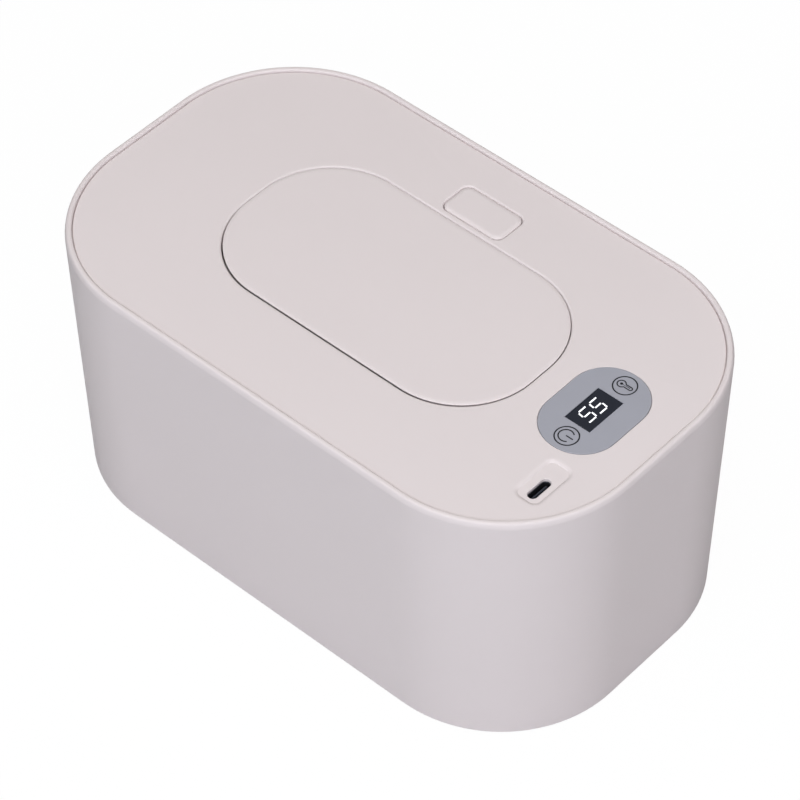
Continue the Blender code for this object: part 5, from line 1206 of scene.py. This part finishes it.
class WARMER_OT_heater(WarmerStep, bpy.types.Operator):
    """Build the insulating foam over the heating film and the heater's two leads"""

    bl_idname = "warmer.heater"
    bl_label = "Heater insulation"

    def build(self, sizes):
        low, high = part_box("insulation_pad")
        edge_round, corner = 0.5 * MM, 26.5 * MM
        outer = arc(edge_round, low.z + edge_round, edge_round, -90, 0, 4)
        outer += arc(edge_round, high.z - edge_round, edge_round, 0, 90, 4)
        opening = rounded(85 * MM, 45 * MM, 22.4 * MM)
        sections = [(plan(low, high, corner, inset), height) for inset, height in outer]
        sections += [(opening, high.z), (opening, low.z)]
        pad = loft("foam_pad", sections, True)
        bottom, top = low.z - OVERRUN, high.z + OVERRUN
        margin, room_corner = 1.2 * MM, 1.5 * MM
        for node in ("temperature_sensor", "thermal_fuse"):
            outline = plan(*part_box(node), room_corner - margin, -margin, steps=6)
            carve(pad, loft("room", [(outline, bottom), (outline, top)]))
        hole_radius, lead_radius = 0.9 * MM, 0.58 * MM
        for number, slot, sway in ((1, "lead_red", 0.3 * MM), (2, "lead_black", -0.3 * MM)):
            node = f"heater_lead_{number}"
            middle, span = centre_of(node)
            carve(pad, turned("lead_room", [(hole_radius, bottom), (hole_radius, top)], middle, 24))
            path = []
            for share in turns(0, 1, 24):
                aside = sway * sin(pi * share) ** 2
                path.append((middle.x + aside, middle.y + aside / 2, middle.z + span.z * (share - 0.5)))
            lead = wire(f"curved_{node}", path, lead_radius, 16)
            complete(lead, slot, body_of(node), slot, node, sharp=50)
        complete(pad, "foam", body_of("insulation_pad"), "foam", "insulation_pad")


class WARMER_OT_inner_parts(WarmerStep, bpy.types.Operator):
    """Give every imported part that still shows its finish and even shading"""

    bl_idname = "warmer.inner_parts"
    bl_label = "Inner parts"

    def build(self, sizes):
        slots = {row["node"]: row["material_slot"] for row in frame["record"]["subparts"]}
        for name, item in frame["nodes"].items():
            if item.hide_render:
                continue
            mesh = item.data
            mesh.materials.clear()
            mesh.materials.append(Library.get(slots[name]))
            weld = item.modifiers.new("weld", "WELD")
            weld.merge_threshold = WELD_GAP
            bevel = item.modifiers.new("edge_round", "BEVEL")
            bevel.width = INNER_ROUND
            bevel.segments = 2
            bevel.limit_method = "ANGLE"
            bevel.angle_limit = radians(50)
            bevel.use_clamp_overlap = True
            mesh.shade_smooth()
            mesh.set_sharp_from_angle(angle=radians(28))
            even_out(item)


# Stage


class WARMER_OT_stage(WarmerStep, bpy.types.Operator):
    """Set up the pale floor, the soft studio light and the camera"""

    bl_idname = "warmer.stage"
    bl_label = "Stage"

    def build(self, sizes):
        self.add_floor()
        self.add_world()
        self.add_lamp("top_light", 0, 89, 12.82, (1.0, 0.979, 0.898))
        self.add_lamp("front_light", 20, 45, 19.1, (0.841, 0.921, 1.0))
        self.add_lamp("side_light", 60, 40, 11.21, (0.902, 0.923, 1.0))
        self.add_camera()

    def add_floor(self):
        """A wide floor that the camera sees as pure white, with only the faint end of a shadow."""
        builder = bmesh.new()
        far = 20.0
        corners = [(-far, -far), (far, -far), (far, far), (-far, far)]
        builder.faces.new([builder.verts.new((x, y, 0.0)) for x, y in corners])
        floor = make_item("floor", builder)
        finish = Finish("floor_white", roughness=0.85, specular_ior_level=0.1)
        rays = finish.tree.nodes.new("ShaderNodeLightPath")
        seen = Term(finish, rays.outputs["Is Camera Ray"])
        finish.set("Base Color", finish.mix(seen, (0.62, 0.62, 0.62), (1.0, 1.0, 1.0)))
        through = Term(finish, rays.outputs["Is Transmission Ray"])
        white = finish.node("ShaderNodeEmission", None, {"Color": (1.0, 1.0, 1.0), "Strength": 1.0})
        share = (seen + through).within(0.0, 1.0) * 0.97
        lit = Term(finish, finish.shader.outputs[0])
        mixed = finish.node("ShaderNodeMixShader", None, {0: share, 1: lit, 2: white})
        finish.tree.links.new(mixed.socket, finish.tree.nodes["Material Output"].inputs["Surface"])
        floor.data.materials.append(finish.material)

    def add_world(self):
        """A faint bluish light from all round, behind a background that the camera sees as white."""
        world = bpy.data.worlds.new("studio")
        bpy.context.scene.world = world
        world.use_nodes = True
        tree = world.node_tree
        soft = tree.nodes["Background"]
        soft.inputs["Color"].default_value = (0.94, 0.942, 1.0, 1.0)
        soft.inputs["Strength"].default_value = 0.18
        white = tree.nodes.new("ShaderNodeBackground")
        white.inputs["Strength"].default_value = 1.0
        rays = tree.nodes.new("ShaderNodeLightPath")
        seen = tree.nodes.new("ShaderNodeMath")
        seen.operation = "MAXIMUM"
        tree.links.new(rays.outputs["Is Camera Ray"], seen.inputs[0])
        tree.links.new(rays.outputs["Is Transmission Ray"], seen.inputs[1])
        mixed = tree.nodes.new("ShaderNodeMixShader")
        tree.links.new(seen.outputs[0], mixed.inputs[0])
        tree.links.new(soft.outputs[0], mixed.inputs[1])
        tree.links.new(white.outputs[0], mixed.inputs[2])
        tree.links.new(mixed.outputs[0], tree.nodes["World Output"].inputs["Surface"])

    def add_lamp(self, name, azimuth, elevation, power, colour, away=1.8, size=1.6):
        """A square lamp that looks at the object; azimuth 0 stands on the -Y side and 90 on the +X side."""
        lamp = bpy.data.lights.new(name, "AREA")
        lamp.shape = "SQUARE"
        lamp.size = size
        lamp.energy = power
        lamp.color = colour
        item = bpy.data.objects.new(name, lamp)
        bpy.context.scene.collection.objects.link(item)
        turn, rise = radians(azimuth), radians(elevation)
        back = Vector((sin(turn) * cos(rise), -cos(turn) * cos(rise), sin(rise)))
        item.location = Vector((0.0, 0.0, 60 * MM)) + back * away
        item.rotation_mode = "QUATERNION"
        item.rotation_quaternion = (-back).to_track_quat("-Z", "Y")

    def add_camera(self):
        """The camera, from a fit of the body's outline to the picture."""
        azimuth, elevation, roll = 0.7367133, 0.8198597, -0.0081208
        half_length, middle_height = 105 * MM, 49.3 * MM
        away, shift_x, shift_y = 10.7671673, -0.0147553, 0.0184507
        focal_pixels, picture_pixels, sensor = 3634.4487, 800, 36.0
        back = Vector((sin(azimuth) * cos(elevation), -cos(azimuth) * cos(elevation), sin(elevation)))
        right = (-back).cross(Vector((0.0, 0.0, 1.0))).normalized()
        up = right.cross(-back)
        side = cos(roll) * right + sin(roll) * up
        above = -sin(roll) * right + cos(roll) * up
        middle = Vector((0.0, 0.0, middle_height))
        place = middle + (away * back - shift_x * side - shift_y * above) * half_length
        data = bpy.data.cameras.new("camera")
        data.sensor_width = sensor
        data.lens = focal_pixels / picture_pixels * sensor
        data.clip_start = 0.01
        camera = bpy.data.objects.new("camera", data)
        bpy.context.scene.collection.objects.link(camera)
        turn = Matrix((side, above, back)).transposed()
        camera.matrix_world = Matrix.Translation(place) @ turn.to_4x4()
        bpy.context.scene.camera = camera
        bpy.context.scene.view_settings.view_transform = "Standard"


STEPS = [
    WARMER_OT_shell,
    WARMER_OT_cover,
    WARMER_OT_lid,
    WARMER_OT_button,
    WARMER_OT_panel,
    WARMER_OT_display,
    WARMER_OT_inlet,
    WARMER_OT_dispenser,
    WARMER_OT_seals,
    WARMER_OT_feet,
    WARMER_OT_springs,
    WARMER_OT_heater,
    WARMER_OT_inner_parts,
    WARMER_OT_stage,
]


class WARMER_PT_panel(bpy.types.Panel):
    """Lists the building steps and the sizes and colours they use"""

    bl_idname = "WARMER_PT_panel"
    bl_label = "Wipe warmer"
    bl_space_type = "VIEW_3D"
    bl_region_type = "UI"
    bl_category = "Wipe warmer"

    def draw(self, context):
        for step in STEPS:
            self.layout.operator(step.bl_idname)
        for group in (context.scene.warmer_sizes, context.scene.warmer_colours):
            box = self.layout.box()
            for name in group.__annotations__:
                box.prop(group, name)


def register():
    for item in [WarmerSizes, WarmerColours, *STEPS, WARMER_PT_panel]:
        bpy.utils.register_class(item)
    bpy.types.Scene.warmer_sizes = PointerProperty(type=WarmerSizes)
    bpy.types.Scene.warmer_colours = PointerProperty(type=WarmerColours)


def unregister():
    del bpy.types.Scene.warmer_colours
    del bpy.types.Scene.warmer_sizes
    for item in reversed([WarmerSizes, WarmerColours, *STEPS, WARMER_PT_panel]):
        bpy.utils.unregister_class(item)


def main():
    register()
    for step in STEPS:
        group, name = step.bl_idname.split(".")
        getattr(getattr(bpy.ops, group), name)()


if __name__ == "__main__":
    main()
